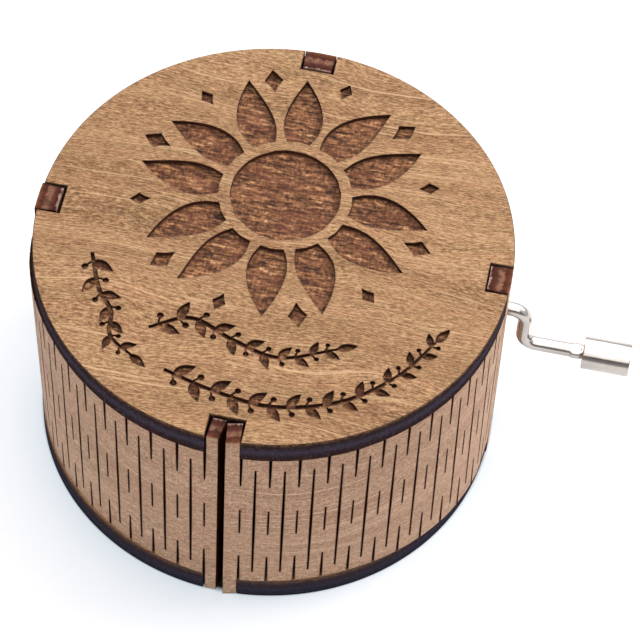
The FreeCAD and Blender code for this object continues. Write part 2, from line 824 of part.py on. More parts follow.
def make_cap():
    """The disc pressed into the barrel's front end."""
    cap = ring(
        "barrel_radius - barrel_wall",
        "arbor_radius",
        "cap_thick",
        "cylinder_right",
        "-barrel_front",
        "cylinder_rise",
        ALONG_Y,
    )
    keep(cap, "barrel_end_cap")


def make_arbor():
    """The arbor that barrel and wheel are pressed on, with a pivot turned at each end."""
    body = new_body("Arbor")
    front = "(-(bed_front - upright_thick) + end_play)"
    back = "(bracket_face - end_play)"
    profile = new_sketch(body, "XY_Plane", "ArborProfile")
    polygon(profile, [
        ("0", f"{front} - pivot_length"),
        ("pivot_radius", f"{front} - pivot_length"),
        ("pivot_radius", front),
        ("arbor_radius", front),
        ("arbor_radius", back),
        ("pivot_radius", back),
        ("pivot_radius", f"{back} + pivot_length"),
        ("0", f"{back} + pivot_length"),
    ])
    body.Tip = revolve(body, profile, "V_Axis")
    place(body, x="cylinder_right", z="cylinder_rise")
    keep(body, "cylinder_arbor")


# ---------------------------------------------------------------- bed, posts and bracket

PIVOT_BORE = "(pivot_radius + running_gap)"
BED_TOP = "(disc_ply + bed_thick)"


def slot_root(gap):
    """How far left of the axis a slot of the comb ends; gap 0 would be the comb's back edge."""
    return f"(treble_slot - cylinder_right + comb_tip_radius + slot_step * ({gap}))"


def make_bed():
    """The cast bedplate: floor with a window, comb seat, bosses and the arbor's front upright."""
    body = new_body("Bedplate")
    floor = new_sketch(body, "XY_Plane", "Floor")
    rectangle(floor, "-bed_left", "bed_right", "-bed_front", "bed_back")
    plate = pad(body, floor, "bed_thick")
    document.recompute()
    corners = [
        f"Edge{index}"
        for index, edge in enumerate(plate.Shape.Edges, start=1)
        if abs(edge.tangentAt(edge.FirstParameter).z) > 0.99
    ]
    rounding = body.newObject("PartDesign::Fillet", "Corners")
    rounding.Base = (plate, corners)
    bind(rounding, Radius="bed_corner")

    window = new_sketch(body, "XY_Plane", "Window")
    centre = "cylinder_right"
    left, right = f"{centre} - window_half", f"{centre} + window_half"
    rectangle(window, left, right, "-window_front", "window_back")
    pocket(body, window, "bed_thick")

    seat = new_sketch(body, "XY_Plane", "CombSeat")
    back_edge = "-comb_left"
    front = "(-comb_front)"
    back = "(tooth_count * tooth_pitch - comb_front)"
    polygon(seat, [
        (back_edge, front),
        (f"-({slot_root('tooth_count')} + seat_margin)", front),
        (f"-({slot_root('0')} + seat_margin)", back),
        (back_edge, back),
    ])
    pad(body, seat, "cylinder_rise - disc_ply")

    bosses = new_sketch(body, "XY_Plane", "Bosses")
    circle(bosses, "-mount_across", "mount_back", "boss_radius")
    circle(bosses, "mount_across", "mount_back", "boss_radius")
    circle(bosses, "mount_across", "-mount_front", "boss_radius")
    pad(body, bosses, "bed_thick + boss_height")

    upright = new_sketch(body, "XZ_Plane", "Upright", lift="bed_front - upright_thick")
    arbor_height = "cylinder_rise - disc_ply"
    rectangle(
        upright,
        f"{centre} - upright_half",
        f"{centre} + upright_half",
        "0",
        f"{arbor_height} + upright_over",
    )
    pad(body, upright, "upright_thick")
    bearing = new_sketch(body, "XZ_Plane", "FrontBearing", lift="bed_front - upright_thick")
    circle(bearing, centre, arbor_height, PIVOT_BORE)
    pocket(body, bearing, "upright_thick")

    mounts = new_sketch(body, "XY_Plane", "MountingThreads")
    for across in ("-mount_across", "mount_across"):
        for along in ("-mount_front", "mount_back"):
            circle(mounts, across, along, "mount_screw_radius")
    pocket(body, mounts, "mount_screw_end - disc_ply + thread_spare")

    thread_floor = f"{arbor_height} + comb_thick - comb_screw_length - thread_spare"
    combs = new_sketch(body, "XY_Plane", "CombThreads", lift=thread_floor)
    for along in ("-comb_screw_front", "comb_screw_back"):
        circle(combs, "-comb_screw_left", along, "comb_screw_radius")
    pocket(body, combs, "comb_screw_length")

    small = new_sketch(body, "XY_Plane", "SmallThreads")
    for across, along in SMALL_SCREWS:
        circle(small, across, along, "small_screw_radius")
    body.Tip = pocket(body, small, "bed_thick")
    place(body, z="disc_ply")
    keep(body, "bedplate")


POST_SCREWS = [
    ("-(post_inner + post_screw)", "crank_back"),
    ("post_outer + post_screw", "crank_back"),
]
BRACKET_SCREWS = [
    ("cylinder_right - bracket_screw_across", "bracket_face + bracket_screw_back"),
    ("cylinder_right + bracket_screw_across", "bracket_face + bracket_screw_back"),
]
SMALL_SCREWS = POST_SCREWS + BRACKET_SCREWS


def make_post(label, x, turn):
    """A bent sheet post for the crank shaft, its foot turned away from the wheel."""
    body = new_body("Post")
    rise = f"(crank_rise - {BED_TOP})"
    side = new_sketch(body, "XZ_Plane", "Bend")
    polygon(side, [
        ("-post_foot", "0"),
        ("0", "0"),
        ("0", rise),
        ("-sheet_thick", rise),
        ("-sheet_thick", "sheet_thick"),
        ("-post_foot", "sheet_thick"),
    ])
    pad(body, side, "2 * post_half", symmetric=True)
    eye = new_sketch(body, "YZ_Plane", "Eye", lift="-sheet_thick")
    circle(eye, "0", rise, "post_eye_radius")
    pad(body, eye, "sheet_thick")
    bearing = new_sketch(body, "YZ_Plane", "ShaftBearing", lift="-sheet_thick")
    circle(bearing, "0", rise, "wire_radius + running_gap")
    pocket(body, bearing, "sheet_thick")
    hole = new_sketch(body, "XY_Plane", "FootHole")
    circle(hole, "-post_screw", "0", "small_screw_radius")
    body.Tip = pocket(body, hole, "sheet_thick")
    place(body, x, "crank_back", BED_TOP, (0, 0, 1), turn)
    keep(body, label)


def make_posts():
    make_post("shaft_post_inner", "-post_inner", "0")
    make_post("shaft_post_outer", "post_outer", "180")


def make_bracket():
    """A bent sheet bracket that carries the arbor's back end."""
    body = new_body("ArborBracket")
    height = f"(cylinder_rise - {BED_TOP})"
    side = new_sketch(body, "YZ_Plane", "Foot", lift="-bracket_half")
    rectangle(side, "0", "bracket_foot", "0", "sheet_thick")
    pad(body, side, "2 * bracket_half")
    upright = new_sketch(body, "XZ_Plane", "Plate", lift="-sheet_thick")
    rectangle(upright, "-upright_half", "upright_half", "0", height)
    pad(body, upright, "sheet_thick")
    crown = new_sketch(body, "XZ_Plane", "Crown", lift="-sheet_thick")
    circle(crown, "0", height, "upright_half")
    pad(body, crown, "sheet_thick")
    bearing = new_sketch(body, "XZ_Plane", "BackBearing", lift="-sheet_thick")
    circle(bearing, "0", height, PIVOT_BORE)
    pocket(body, bearing, "sheet_thick")
    holes = new_sketch(body, "XY_Plane", "FootHoles")
    for across in ("-bracket_screw_across", "bracket_screw_across"):
        circle(holes, across, "bracket_screw_back", "small_screw_radius")
    body.Tip = pocket(body, holes, "sheet_thick")
    place(body, "cylinder_right", "bracket_face", BED_TOP)
    keep(body, "arbor_bracket")


# ---------------------------------------------------------------- comb

def make_comb():
    """A hard steel comb: slots of rising length leave eighteen teeth, the longest at the front."""
    body = new_body("Comb")
    outline = new_sketch(body, "XY_Plane", "Outline")
    tip = "(cylinder_right - comb_tip_radius)"
    back = "(tooth_count * tooth_pitch - comb_front)"
    rectangle(outline, "-comb_left", tip, "-comb_front", back)
    pad(body, outline, "comb_thick")
    slots = new_sketch(body, "XY_Plane", "Slots")
    count = int(value("tooth_count"))
    for gap in range(1, count):
        middle = f"({back} - {gap} * tooth_pitch)"
        rectangle(
            slots,
            f"-{slot_root(gap)}",
            f"{tip} + overcut",
            f"{middle} - tooth_gap / 2",
            f"{middle} + tooth_gap / 2",
        )
    pocket(body, slots, "comb_thick")
    holes = new_sketch(body, "XY_Plane", "ScrewHoles")
    for along in ("-comb_screw_front", "comb_screw_back"):
        circle(holes, "-comb_screw_left", along, "comb_screw_radius")
    body.Tip = pocket(body, holes, "comb_thick")
    place(body, z="cylinder_rise")
    keep(body, "comb")


def make_weights():
    """Lead weights under the longest teeth, deepest under the lowest note."""
    weights = []
    for tooth in range(int(value("weight_count"))):
        height = f"(weight_height - {tooth} * weight_step)"
        weights.append(box(
            "weight_length",
            "weight_width",
            height,
            "cylinder_right - comb_tip_radius - weight_setback - weight_length",
            f"({tooth} + 0.5) * tooth_pitch - comb_front - weight_width / 2",
            f"cylinder_rise - {height}",
        ))
    keep(group(weights), "tuning_weights")


# ---------------------------------------------------------------- screws

def pan_screw(x, y, seat, shank, length):
    """A pan-head screw that points down, its head resting at the height of seat."""
    head = cylinder(f"{shank} * pan_head_factor", "pan_head_height", x, y, seat)
    stem = cylinder(shank, length, x, y, f"{seat} - {length}")
    return fuse([head, stem])


def make_screws():
    foot_top = f"{BED_TOP} + sheet_thick"
    for label, spots in (
        ("shaft_post_screws", POST_SCREWS),
        ("arbor_bracket_screws", BRACKET_SCREWS),
    ):
        keep(group([
            pan_screw(x, y, foot_top, "small_screw_radius", "small_screw_length")
            for x, y in spots
        ]), label)

    comb_spots = [("-comb_screw_left", "-comb_screw_front"), ("-comb_screw_left", "comb_screw_back")]
    comb_top = "cylinder_rise + comb_thick"
    keep(group([
        pan_screw(x, y, comb_top, "comb_screw_radius", "comb_screw_length")
        for x, y in comb_spots
    ]), "comb_screws")


def make_mounting_screws():
    """Countersunk screws from below that hold the movement on the base disc."""
    screws = []
    cone = "(mount_head_radius - mount_screw_radius)"
    for x in ("-mount_across", "mount_across"):
        for y in ("-mount_front", "mount_back"):
            head = document.addObject("Part::Cone", "Head")
            bind(head, Radius1="mount_head_radius", Radius2="mount_screw_radius", Height=cone)
            place(head, x, y, "mount_head_sunk")
            stem = cylinder(
                "mount_screw_radius",
                "mount_screw_end - mount_head_sunk",
                x,
                y,
                "mount_head_sunk",
            )
            screws.append(fuse([head, stem]))
    keep(group(screws), "mounting_screws")


# ---------------------------------------------------------------- build

def check_and_export():
    """Write every sub-part to parts/, once nothing in the document has failed."""
    document.recompute()
    for item in document.Objects:
        if "Invalid" in item.State or "Error" in item.State:
            raise RuntimeError(f"{item.Name} ({item.Label}) failed: {item.State}")
    for node in nodes:
        if node.Shape.isNull() or not node.Shape.isValid():
            raise RuntimeError(f"{node.Label} has no valid shape")
    os.makedirs("parts", exist_ok=True)
    for node in nodes:
        node.Shape.exportStep(f"parts/{node.Label}.step")
        print(f"{node.Label}: {len(node.Shape.Solids)} solid(s), {node.Shape.Volume:.1f} mm3")


fill_sheet()
make_lid()
make_base()
make_wall()
make_crank_wire()
make_knob()
make_shaft_hardware()
make_worm()
make_wheel()
make_barrel()
make_cap()
make_arbor()
make_bed()
make_posts()
make_bracket()
make_comb()
make_weights()
make_screws()
make_mounting_screws()
check_and_export()
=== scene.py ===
import math

import bmesh
import bpy
import numpy as np
from mathutils import Matrix, Vector, geometry, noise


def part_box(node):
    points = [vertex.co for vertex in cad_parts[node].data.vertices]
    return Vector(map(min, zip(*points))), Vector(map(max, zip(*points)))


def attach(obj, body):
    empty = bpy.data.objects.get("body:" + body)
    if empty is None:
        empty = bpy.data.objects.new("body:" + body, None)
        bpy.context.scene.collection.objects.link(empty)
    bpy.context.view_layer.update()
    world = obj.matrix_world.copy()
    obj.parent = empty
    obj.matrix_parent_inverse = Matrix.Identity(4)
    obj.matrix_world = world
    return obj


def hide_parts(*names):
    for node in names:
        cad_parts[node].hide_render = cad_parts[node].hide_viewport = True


# The looks of a round plywood music box with a living-hinge wall and a plated wire crank.
# Sizes are millimetres until a mesh is made. Lights, camera and floor are in metres.

MM = 0.001
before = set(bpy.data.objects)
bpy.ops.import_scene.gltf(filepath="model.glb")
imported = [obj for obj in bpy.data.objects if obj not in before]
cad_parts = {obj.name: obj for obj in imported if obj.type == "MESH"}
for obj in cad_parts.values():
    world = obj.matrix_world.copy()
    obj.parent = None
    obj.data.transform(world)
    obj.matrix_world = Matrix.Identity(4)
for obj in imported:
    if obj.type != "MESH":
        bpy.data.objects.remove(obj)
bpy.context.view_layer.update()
LID_LOW, LID_HIGH, BASE_LOW, BASE_HIGH, KNOB_LOW, KNOB_HIGH = (
    corner / MM for node in ("lid_disc", "base_disc", "crank_knob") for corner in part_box(node)
)
LID_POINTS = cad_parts["lid_disc"].data.vertices
RADIUS = max(math.hypot(*point.co.xy) for point in LID_POINTS) / MM
TOP = LID_HIGH.z
WALL_LOW = BASE_HIGH.z
WALL_HIGH = LID_LOW.z


# ---------------- meshes

# A face's finish is the place of its material in its object's list.
FACE, EDGE, CARVED, CARVED_SIDE = range(4)
KERF_SIDE = 2           # in the wall's list
MERGE = 1e-7            # vertices nearer than this, in metres, become one
SNAP = 1e-5             # points nearer than this on a plan become one
HAIR = 1e-6             # what rounding may add to a length


def add_object(name, mesh):
    item = bpy.data.objects.new(name, mesh)
    bpy.context.scene.collection.objects.link(item)
    return item


class Solid:
    """Faces gathered for one mesh. A point has its place in the plywood (along the grain, across
    it, and from 0 to 1 up to the shown face) and its char, from 0 to 1."""

    def __init__(self):
        self.points = np.zeros((0, 3))
        self.places = np.zeros((0, 3))
        self.char = np.zeros(0)
        self.faces = []
        self.finishes = []

    def add(self, points, faces, finish=FACE, places=None, char=0.0):
        first = len(self.points)
        self.points = np.vstack([self.points, points])
        self.places = np.vstack([self.places, points if places is None else places])
        self.char = np.append(self.char, np.broadcast_to(char, len(points)))
        self.faces += [[int(corner) + first for corner in face] for face in faces]
        self.finishes += [finish] * len(faces)

    def band(self, lower, upper, finish=FACE, places=None):
        """Quads between two closed rows of points that match one to one."""
        count = len(lower)
        ahead = np.roll(range(count), -1)
        faces = [(here, to, count + to, count + here) for here, to in enumerate(ahead)]
        self.add(np.vstack([lower, upper]), faces, finish, places)

    def bands(self, rows, closed=False):
        """Bands from each row to the next, and from the last to the first where closed."""
        for lower, upper in zip(rows, rows[1:] + rows[:1] if closed else rows[1:]):
            self.band(lower, upper)

    def cap(self, row):
        """One flat face that fills a closed row of points."""
        self.add(row, [range(len(row))])

    def side(self, edge, near, far, finish, char=1.0):
        """A quad between an edge in two nets, each of them its points and their places."""
        edge = list(edge)
        points, places = (np.vstack([a[edge], b[edge[::-1]]]) for a, b in zip(near, far))
        self.add(points, [(0, 1, 2, 3)], finish, places, char)

    def mesh_object(self, name, materials, sharp=30):
        """The closed mesh of all that was gathered, with its edges sharp beyond so many degrees."""
        mesh = bpy.data.meshes.new(name)
        mesh.from_pydata((self.points * MM).tolist(), [], self.faces)
        for material in materials:
            mesh.materials.append(material)
        mesh.polygons.foreach_set("material_index", self.finishes)
        corners = [corner for face in self.faces for corner in face]
        mesh.attributes.new("ply_place", "FLOAT_VECTOR", "CORNER").data.foreach_set(
            "vector", self.places[corners].ravel()
        )
        mesh.attributes.new("char", "FLOAT", "CORNER").data.foreach_set("value", self.char[corners])
        shape = bmesh.new()
        shape.from_mesh(mesh)
        bmesh.ops.remove_doubles(shape, verts=shape.verts, dist=MERGE)
        loose = [vertex for vertex in shape.verts if not vertex.link_faces]
        bmesh.ops.delete(shape, geom=loose, context="VERTS")
        bmesh.ops.recalc_face_normals(shape, faces=shape.faces)
        shape.to_mesh(mesh)
        shape.free()
        mesh.shade_smooth()
        mesh.set_sharp_from_angle(angle=math.radians(sharp))
        return add_object(name, mesh)


def level(plan, z):
    """Plan points (x, y) at one height, or each at its own."""
    return np.column_stack([plan, np.broadcast_to(z, len(plan))])


def in_outline(spots, outline):
    """Which of the spots lie inside a closed outline."""
    x, y = spots.T
    inside = np.zeros(len(x), bool)
    for (ax, ay), (bx, by) in zip(outline, np.roll(outline, -1, axis=0)):
        crosses = (ay > y) != (by > y)
        if ay != by:
            inside ^= crosses & (x < ax + (y - ay) * (bx - ax) / (by - ay))
    return inside


def in_any(spots, outlines):
    return np.any([in_outline(spots, outline) for outline in outlines], axis=0)


def triangulate(outlines, lines=(), spots=()):
    """Triangles over the plan whose edges follow all outlines (closed) and lines (open)."""
    coords, edges = [], []
    for path, closed in [(o, True) for o in outlines] + [(o, False) for o in lines]:
        first = len(coords)
        coords += [Vector((x, y)) for x, y in path]
        edges += [(index, index + 1) for index in range(first, len(coords) - 1)]
        if closed:
            edges.append((len(coords) - 1, first))
    coords += [Vector((x, y)) for x, y in spots]
    flat, _, faces, *_ = geometry.delaunay_2d_cdt(coords, edges, [], 0, SNAP)
    return np.array([(p.x, p.y) for p in flat]), np.array(faces)


def edge_pairs(faces):
    """Every edge of the triangles with the triangles beside it."""
    beside = {}
    for index, (a, b, c) in enumerate(faces):
        for edge in ((a, b), (b, c), (c, a)):
            beside.setdefault((min(edge), max(edge)), []).append(index)
    return beside


def offset(outline, reach):
    """Points beside a closed outline: outwards where it runs anticlockwise and reach is above 0."""
    along = np.roll(outline, -1, axis=0) - np.roll(outline, 1, axis=0)
    along /= np.linalg.norm(along, axis=1, keepdims=True)
    return outline + np.column_stack([along[:, 1], -along[:, 0]]) * reach


def on_circle(turns, radius):
    """Points round the origin at turns in radians."""
    return np.column_stack([np.cos(turns), np.sin(turns)]) * radius


def circle(x, y, radius, count):
    return on_circle(np.linspace(0, 2 * math.pi, count, endpoint=False), radius) + (x, y)


def smooth_curve(points, steps):
    """A smooth open curve through the points, with so many steps from each to the next."""
    points = np.asarray(points, float)
    padded = np.vstack([2 * points[0] - points[1], points, 2 * points[-1] - points[-2]])
    curve = []
    for before, start, end, after in zip(padded, padded[1:], padded[2:], padded[3:]):
        for share in np.linspace(0, 1, steps, endpoint=False):
            curve.append(0.5 * (
                2 * start
                + (end - before) * share
                + (2 * before - 5 * start + 4 * end - after) * share ** 2
                + (3 * start - before - 3 * end + after) * share ** 3
            ))
    return np.array(curve + [points[-1]])


# ---------------- materials

STUDIO_LIGHT = 1.22     # how much brighter than its own colour a matt face shows in this studio


def linear(red, green, blue):
    """A colour given as the eye sees it, from 0 to 255."""
    shares = [channel / 255 for channel in (red, green, blue)]
    return tuple(s / 12.92 if s <= 0.04045 else ((s + 0.055) / 1.055) ** 2.4 for s in shares) + (1,)


def as_lit(red, green, blue):
    """The colour of a matt face that shows so, from 0 to 255, in the studio's light."""
    return tuple(channel / STUDIO_LIGHT for channel in linear(red, green, blue)[:3]) + (1,)


class Nodes:
    """A node tree under construction: node() adds a node and wires its inputs."""

    def __init__(self, tree):
        self.tree = tree

    def node(self, kind, inputs=None, **settings):
        made = self.tree.nodes.new(f"ShaderNode{kind}")
        for name, setting in settings.items():
            setattr(made, name, setting)
        for name, given in (inputs or {}).items():
            self.feed(made.inputs[name], given)
        return made

    def feed(self, socket, given):
        if isinstance(given, bpy.types.NodeSocket):
            self.tree.links.new(given, socket)
        else:
            socket.default_value = given

    def attribute(self, name, output):
        return self.node("Attribute", attribute_name=name).outputs[output]

    def maths(self, operation, first, second=0.0):
        made = self.node("Math", operation=operation)
        self.feed(made.inputs[0], first)
        self.feed(made.inputs[1], second)
        return made.outputs[0]

    def mixture(self, *parts):
        """The sum of values, each with its weight."""
        total = 0.0
        for value, weight in parts:
            total = self.maths("ADD", total, self.maths("MULTIPLY", value, weight))
        return total

    def noise(self, vector, stretch, detail=2.0, roughness=0.5, shift=0.0):
        """Noise whose grains are 1 / stretch long along each axis."""
        moved = self.node("Mapping", {"Vector": vector, "Scale": stretch, "Location": (shift,) * 3})
        made = self.node(
            "TexNoise",
            {"Vector": moved.outputs[0], "Scale": 1.0, "Detail": detail, "Roughness": roughness},
        )
        return made.outputs[0]

    def spread(self, value, low, high, to_low=0.0, to_high=1.0):
        """Map low..high to a new range, clamped."""
        made = self.node("MapRange", {
            "Value": value, "From Min": low, "From Max": high, "To Min": to_low, "To Max": to_high,
        })
        return made.outputs[0]

    def ramp(self, value, stops):
        made = self.node("ValToRGB", {"Fac": value})
        elements = made.color_ramp.elements
        while len(elements) < len(stops):
            elements.new(0.5)
        for element, (place, colour) in zip(elements, stops):
            element.position = place
            element.color = colour
        return made.outputs[0]

    def lit_ramp(self, value, stops):
        """A ramp whose stops are a place and a colour as it shows in the studio's light."""
        return self.ramp(value, [(place, as_lit(*shown)) for place, shown in stops])

    def blend(self, share, first, second, kind="MIX"):
        made = self.node("Mix", data_type="RGBA", blend_type=kind)
        self.feed(made.inputs[0], share)
        self.feed(made.inputs[6], first)
        self.feed(made.inputs[7], second)
        return made.outputs[2]


class Finish(Nodes):
    """A material under construction."""

    def __init__(self, name, roughness=0.5, metallic=0.0, specular=0.5):
        self.material = bpy.data.materials.new(name)
        self.material.use_nodes = True
        super().__init__(self.material.node_tree)
        self.shader = self.tree.nodes["Principled BSDF"]
        self.shade("Roughness", roughness)
        self.shade("Metallic", metallic)
        self.shade("Specular IOR Level", specular)

    def shade(self, name, given):
        self.feed(self.shader.inputs[name], given)

    def bump(self, height, strength, reach):
        """Relief of a height from 0 to 1, reach millimetres deep."""
        made = self.node("Bump", {"Height": height, "Strength": strength, "Distance": reach * MM})
        self.shade("Normal", made.outputs[0])

    def colour(self, socket):
        self.shade("Base Color", socket)

    def charred(self, colour, power, share, shown):
        """The colour, darkened where the laser charred the wood."""
        char = self.maths("POWER", self.attribute("char", "Fac"), power)
        return self.blend(self.maths("MULTIPLY", char, share), colour, as_lit(*shown))


OLIVE_WOOD = (0.95, 1.0, 0.95, 1)
PINK_WOOD = (1.0, 0.92, 0.91, 1)


def stained_wood(name, dark, middle, light, pale, scorch, along=1.0, across=1.0):
    """The shown face of stained birch ply, with all its figure drawn along a slightly wavy grain,
    and scorched beside what the laser cut. along and across make the figure finer."""
    look = Finish(name, 0.62, specular=0.2)
    flat_place = look.attribute("ply_place", "Vector")
    sway = look.noise(flat_place, (0.03, 0.07, 1.0), 1.0, shift=41.0)
    lift = look.node("CombineXYZ", {"Y": look.spread(sway, 0.3, 0.7, -1.8, 1.8)}).outputs[0]
    place = look.node("VectorMath", {0: flat_place, 1: lift}).outputs[0]
    fibres = look.noise(place, (0.42 * along, 3.8 * across, 1.0), 4.0, 0.75)
    grain = look.noise(place, (1.4 * along, 5.6 * across, 1.0), 3.0, 0.75, shift=31.0)
    slow = look.noise(place, (0.020, 0.24, 1.0), shift=11.0)
    pores = look.noise(place, (0.75, 6.5, 1.0), 1.0, shift=3.0)
    streaks = look.noise(place, (0.03, 2.4, 1.0), 1.0, shift=19.0)
    hue = look.noise(place, (0.09, 0.55, 1.0), shift=47.0)
    tone = look.spread(look.mixture((fibres, 0.40), (grain, 0.46), (slow, 0.14)), 0.42, 0.59)
    colour = look.lit_ramp(tone, [(0.0, dark), (0.5, middle), (1.0, light)])
    colour = look.blend(look.spread(hue, 0.35, 0.50, 0.6, 0.0), colour, OLIVE_WOOD, "MULTIPLY")
    colour = look.blend(look.spread(hue, 0.50, 0.65, 0.0, 0.6), colour, PINK_WOOD, "MULTIPLY")
    colour = look.blend(look.spread(pores, 0.60, 0.70, 0.0, 0.55), colour, as_lit(*dark))
    colour = look.blend(look.spread(streaks, 0.63, 0.71, 0.0, 0.6), colour, as_lit(*pale))
    look.colour(look.charred(colour, 1.6, 0.85, scorch))
    look.bump(look.maths("ADD", fibres, grain), 0.45, 0.05)
    return look.material


def charred_edge(name, dark, light):
    """The sides of a laser cut: soot over the plies, whose glue lines hardly show."""
    look = Finish(name, 0.6, specular=0.04)
    place = look.attribute("ply_place", "Vector")
    soot = look.noise(place, (1.6, 1.6, 6.0), 3.0, 0.6)
    plies = look.noise(place, (0.06, 0.06, 7.0), 1.0, shift=5.0)
    tone = look.spread(look.mixture((soot, 0.45), (plies, 0.55)), 0.38, 0.64)
    look.colour(look.lit_ramp(tone, [(0.0, dark), (1.0, light)]))
    look.bump(look.maths("ADD", soot, plies), 0.5, 0.06)
    return look.material


def disc_edge(name, stops, speck):
    """A disc's laser-cut edge. stops are its colours from the underside up to the top face."""
    look = Finish(name, 0.6, specular=0.0)
    place = look.attribute("ply_place", "Vector")
    through = look.node("SeparateXYZ", {"Vector": place}).outputs[2]
    soot = look.noise(place, (1.6, 1.6, 6.0), 3.0, 0.6)
    specks = look.noise(place, (2.6, 2.6, 9.0), roughness=0.7, shift=5.0)
    uneven = look.maths("ADD", through, look.spread(soot, 0.35, 0.65, -0.07, 0.07))
    colour = look.lit_ramp(uneven, stops)
    share = look.spread(specks, 0.54, 0.70, 0.0, 0.55)
    look.colour(look.blend(share, colour, as_lit(*speck)))
    look.bump(look.maths("ADD", soot, specks), 0.5, 0.06)
    return look.material


def wall_edge(name):
    """The wall's laser-cut edge, from its inner face to its outer one: bare veneer, dark crossed
    plies round a paler one, and an orange scorch."""
    look = Finish(name, 0.66, specular=0.05)
    place = look.attribute("ply_place", "Vector")
    through = look.node("SeparateXYZ", {"Vector": place}).outputs[2]
    soot = look.noise(place, (2.2, 1.4, 4.0), 3.0, 0.65)
    patches = look.noise(place, (0.9, 0.9, 2.2), shift=9.0)
    uneven = look.maths("ADD", through, look.spread(soot, 0.35, 0.65, -0.05, 0.05))
    colour = look.lit_ramp(uneven, [
        (0.0, (206, 170, 154)), (0.06, (164, 120, 106)), (0.11, (70, 34, 28)),
        (0.32, (112, 60, 46)), (0.44, (158, 114, 92)), (0.62, (148, 100, 76)),
        (0.70, (94, 48, 36)), (0.90, (116, 66, 46)), (1.0, (176, 116, 80)),
    ])
    colour = look.blend(look.spread(patches, 0.44, 0.62, 0.0, 0.65), colour, as_lit(74, 38, 32))
    colour = look.blend(look.spread(soot, 0.46, 0.66, 0.0, 0.6), colour, as_lit(44, 23, 20))
    look.colour(look.charred(colour, 1.5, 0.9, (36, 20, 20)))
    look.bump(soot, 0.6, 0.08)
    return look.material


def carved_wood(name):
    """Floor of the laser engraving: burnt fibres in rows along the grain, with the beam's lines."""
    look = Finish(name, 0.7, specular=0.15)
    place = look.attribute("ply_place", "Vector")
    rows = look.noise(place, (0.28, 1.5, 1.0), 3.0, 0.65, shift=23.0)
    fibres = look.noise(place, (0.8, 2.9, 1.0), 4.0, 0.75)
    raster = look.noise(place, (2.6, 1.3, 1.0), shift=13.0)
    tone = look.spread(look.mixture((rows, 0.38), (fibres, 0.42), (raster, 0.20)), 0.40, 0.61)
    colour = look.lit_ramp(tone, [
        (0.0, (42, 24, 15)), (0.28, (90, 55, 34)), (0.52, (130, 84, 54)),
        (0.78, (176, 121, 82)), (1.0, (226, 174, 124)),
    ])
    blotches = look.noise(place, (0.22, 0.35, 1.0), shift=17.0)
    colour = look.blend(look.spread(blotches, 0.47, 0.64, 0.0, 0.35), colour, as_lit(122, 66, 48))
    look.colour(look.charred(colour, 1.3, 0.8, (48, 27, 20)))
    look.bump(look.mixture((fibres, 1.0), (raster, 0.6)), 0.7, 0.12)
    return look.material


def metal(name, shown, roughness, streak, wear):
    """streak is how fine the tool's marks are along each axis, and wear how far the roughness
    strays from its mean."""
    look = Finish(name, roughness, metallic=1.0)
    place = look.node("TexCoord").outputs["Object"]
    marks = look.noise(place, tuple(axis / MM for axis in streak), 3.0, 0.6)
    clouds = look.noise(place, (0.26 / MM,) * 3, shift=4.0)
    polish = look.mixture((marks, 0.6), (clouds, 0.4))
    uneven = look.spread(polish, 0.35, 0.65, max(roughness - wear, 0.02), roughness + wear)
    look.shade("Roughness", uneven)
    colour = linear(*shown)
    darker = tuple(channel * 0.82 for channel in colour[:3]) + (1,)
    look.colour(look.blend(look.spread(clouds, 0.4, 0.7), colour, darker))
    look.bump(marks, 0.12, 0.01)
    return look.material


# Fibres from dark to light, pale streaks and scorch.
LID_WOOD = stained_wood(
    "lid_face", (110, 73, 41), (174, 130, 89), (221, 176, 131), (232, 190, 144), (84, 52, 34)
)
BASE_WOOD = stained_wood(
    "base_face", (140, 100, 66), (182, 140, 102), (212, 172, 132), (222, 182, 140), (84, 52, 34)
)
WALL_WOOD = stained_wood(
    "wall_face", (145, 109, 84), (182, 145, 117), (215, 179, 150), (233, 197, 170), (80, 46, 26),
    along=2.4, across=0.55,
)
LID_EDGE = disc_edge("lid_edge", [
    (0.0, (76, 50, 40)), (0.10, (50, 32, 30)), (0.26, (50, 40, 44)), (0.48, (66, 60, 72)),
    (0.66, (56, 49, 58)), (0.80, (47, 34, 34)), (0.92, (72, 52, 42)), (1.0, (108, 82, 60)),
], (92, 82, 92))
BASE_EDGE = disc_edge("base_edge", [
    (0.0, (38, 38, 48)), (0.16, (42, 42, 52)), (0.45, (54, 52, 64)), (0.62, (52, 44, 51)),
    (0.78, (60, 46, 47)), (0.90, (80, 63, 59)), (1.0, (102, 78, 62)),
], (76, 69, 80))
WALL_EDGE = wall_edge("wall_edge")
WALL_KERF = charred_edge("wall_kerf", (30, 8, 1), (80, 38, 12))
ENGRAVED = carved_wood("engraved_floor")
CARVED_WALL = charred_edge("engraved_side", (44, 26, 19), (88, 52, 38))


# ---------------- discs

RIM_BEVEL = 0.10
MORTISES = [(-90, 2.5, 2.27, 3.5)]      # angle round the disc, reach before and after it, depth
MORTISES += [(angle, 2.3, 2.3, 3.4) for angle in (0, 90, 180)]
ARC_STEPS = 64          # from one mortise to the next
LID_TRIM = 0.27         # how far the lid's rim lies in at its right, and leans in at its left
BASE_TRIM = 0.20        # how far the base's rim lies in at both sides
TRIM_POWER = 9          # how fast that fades towards the front and the back


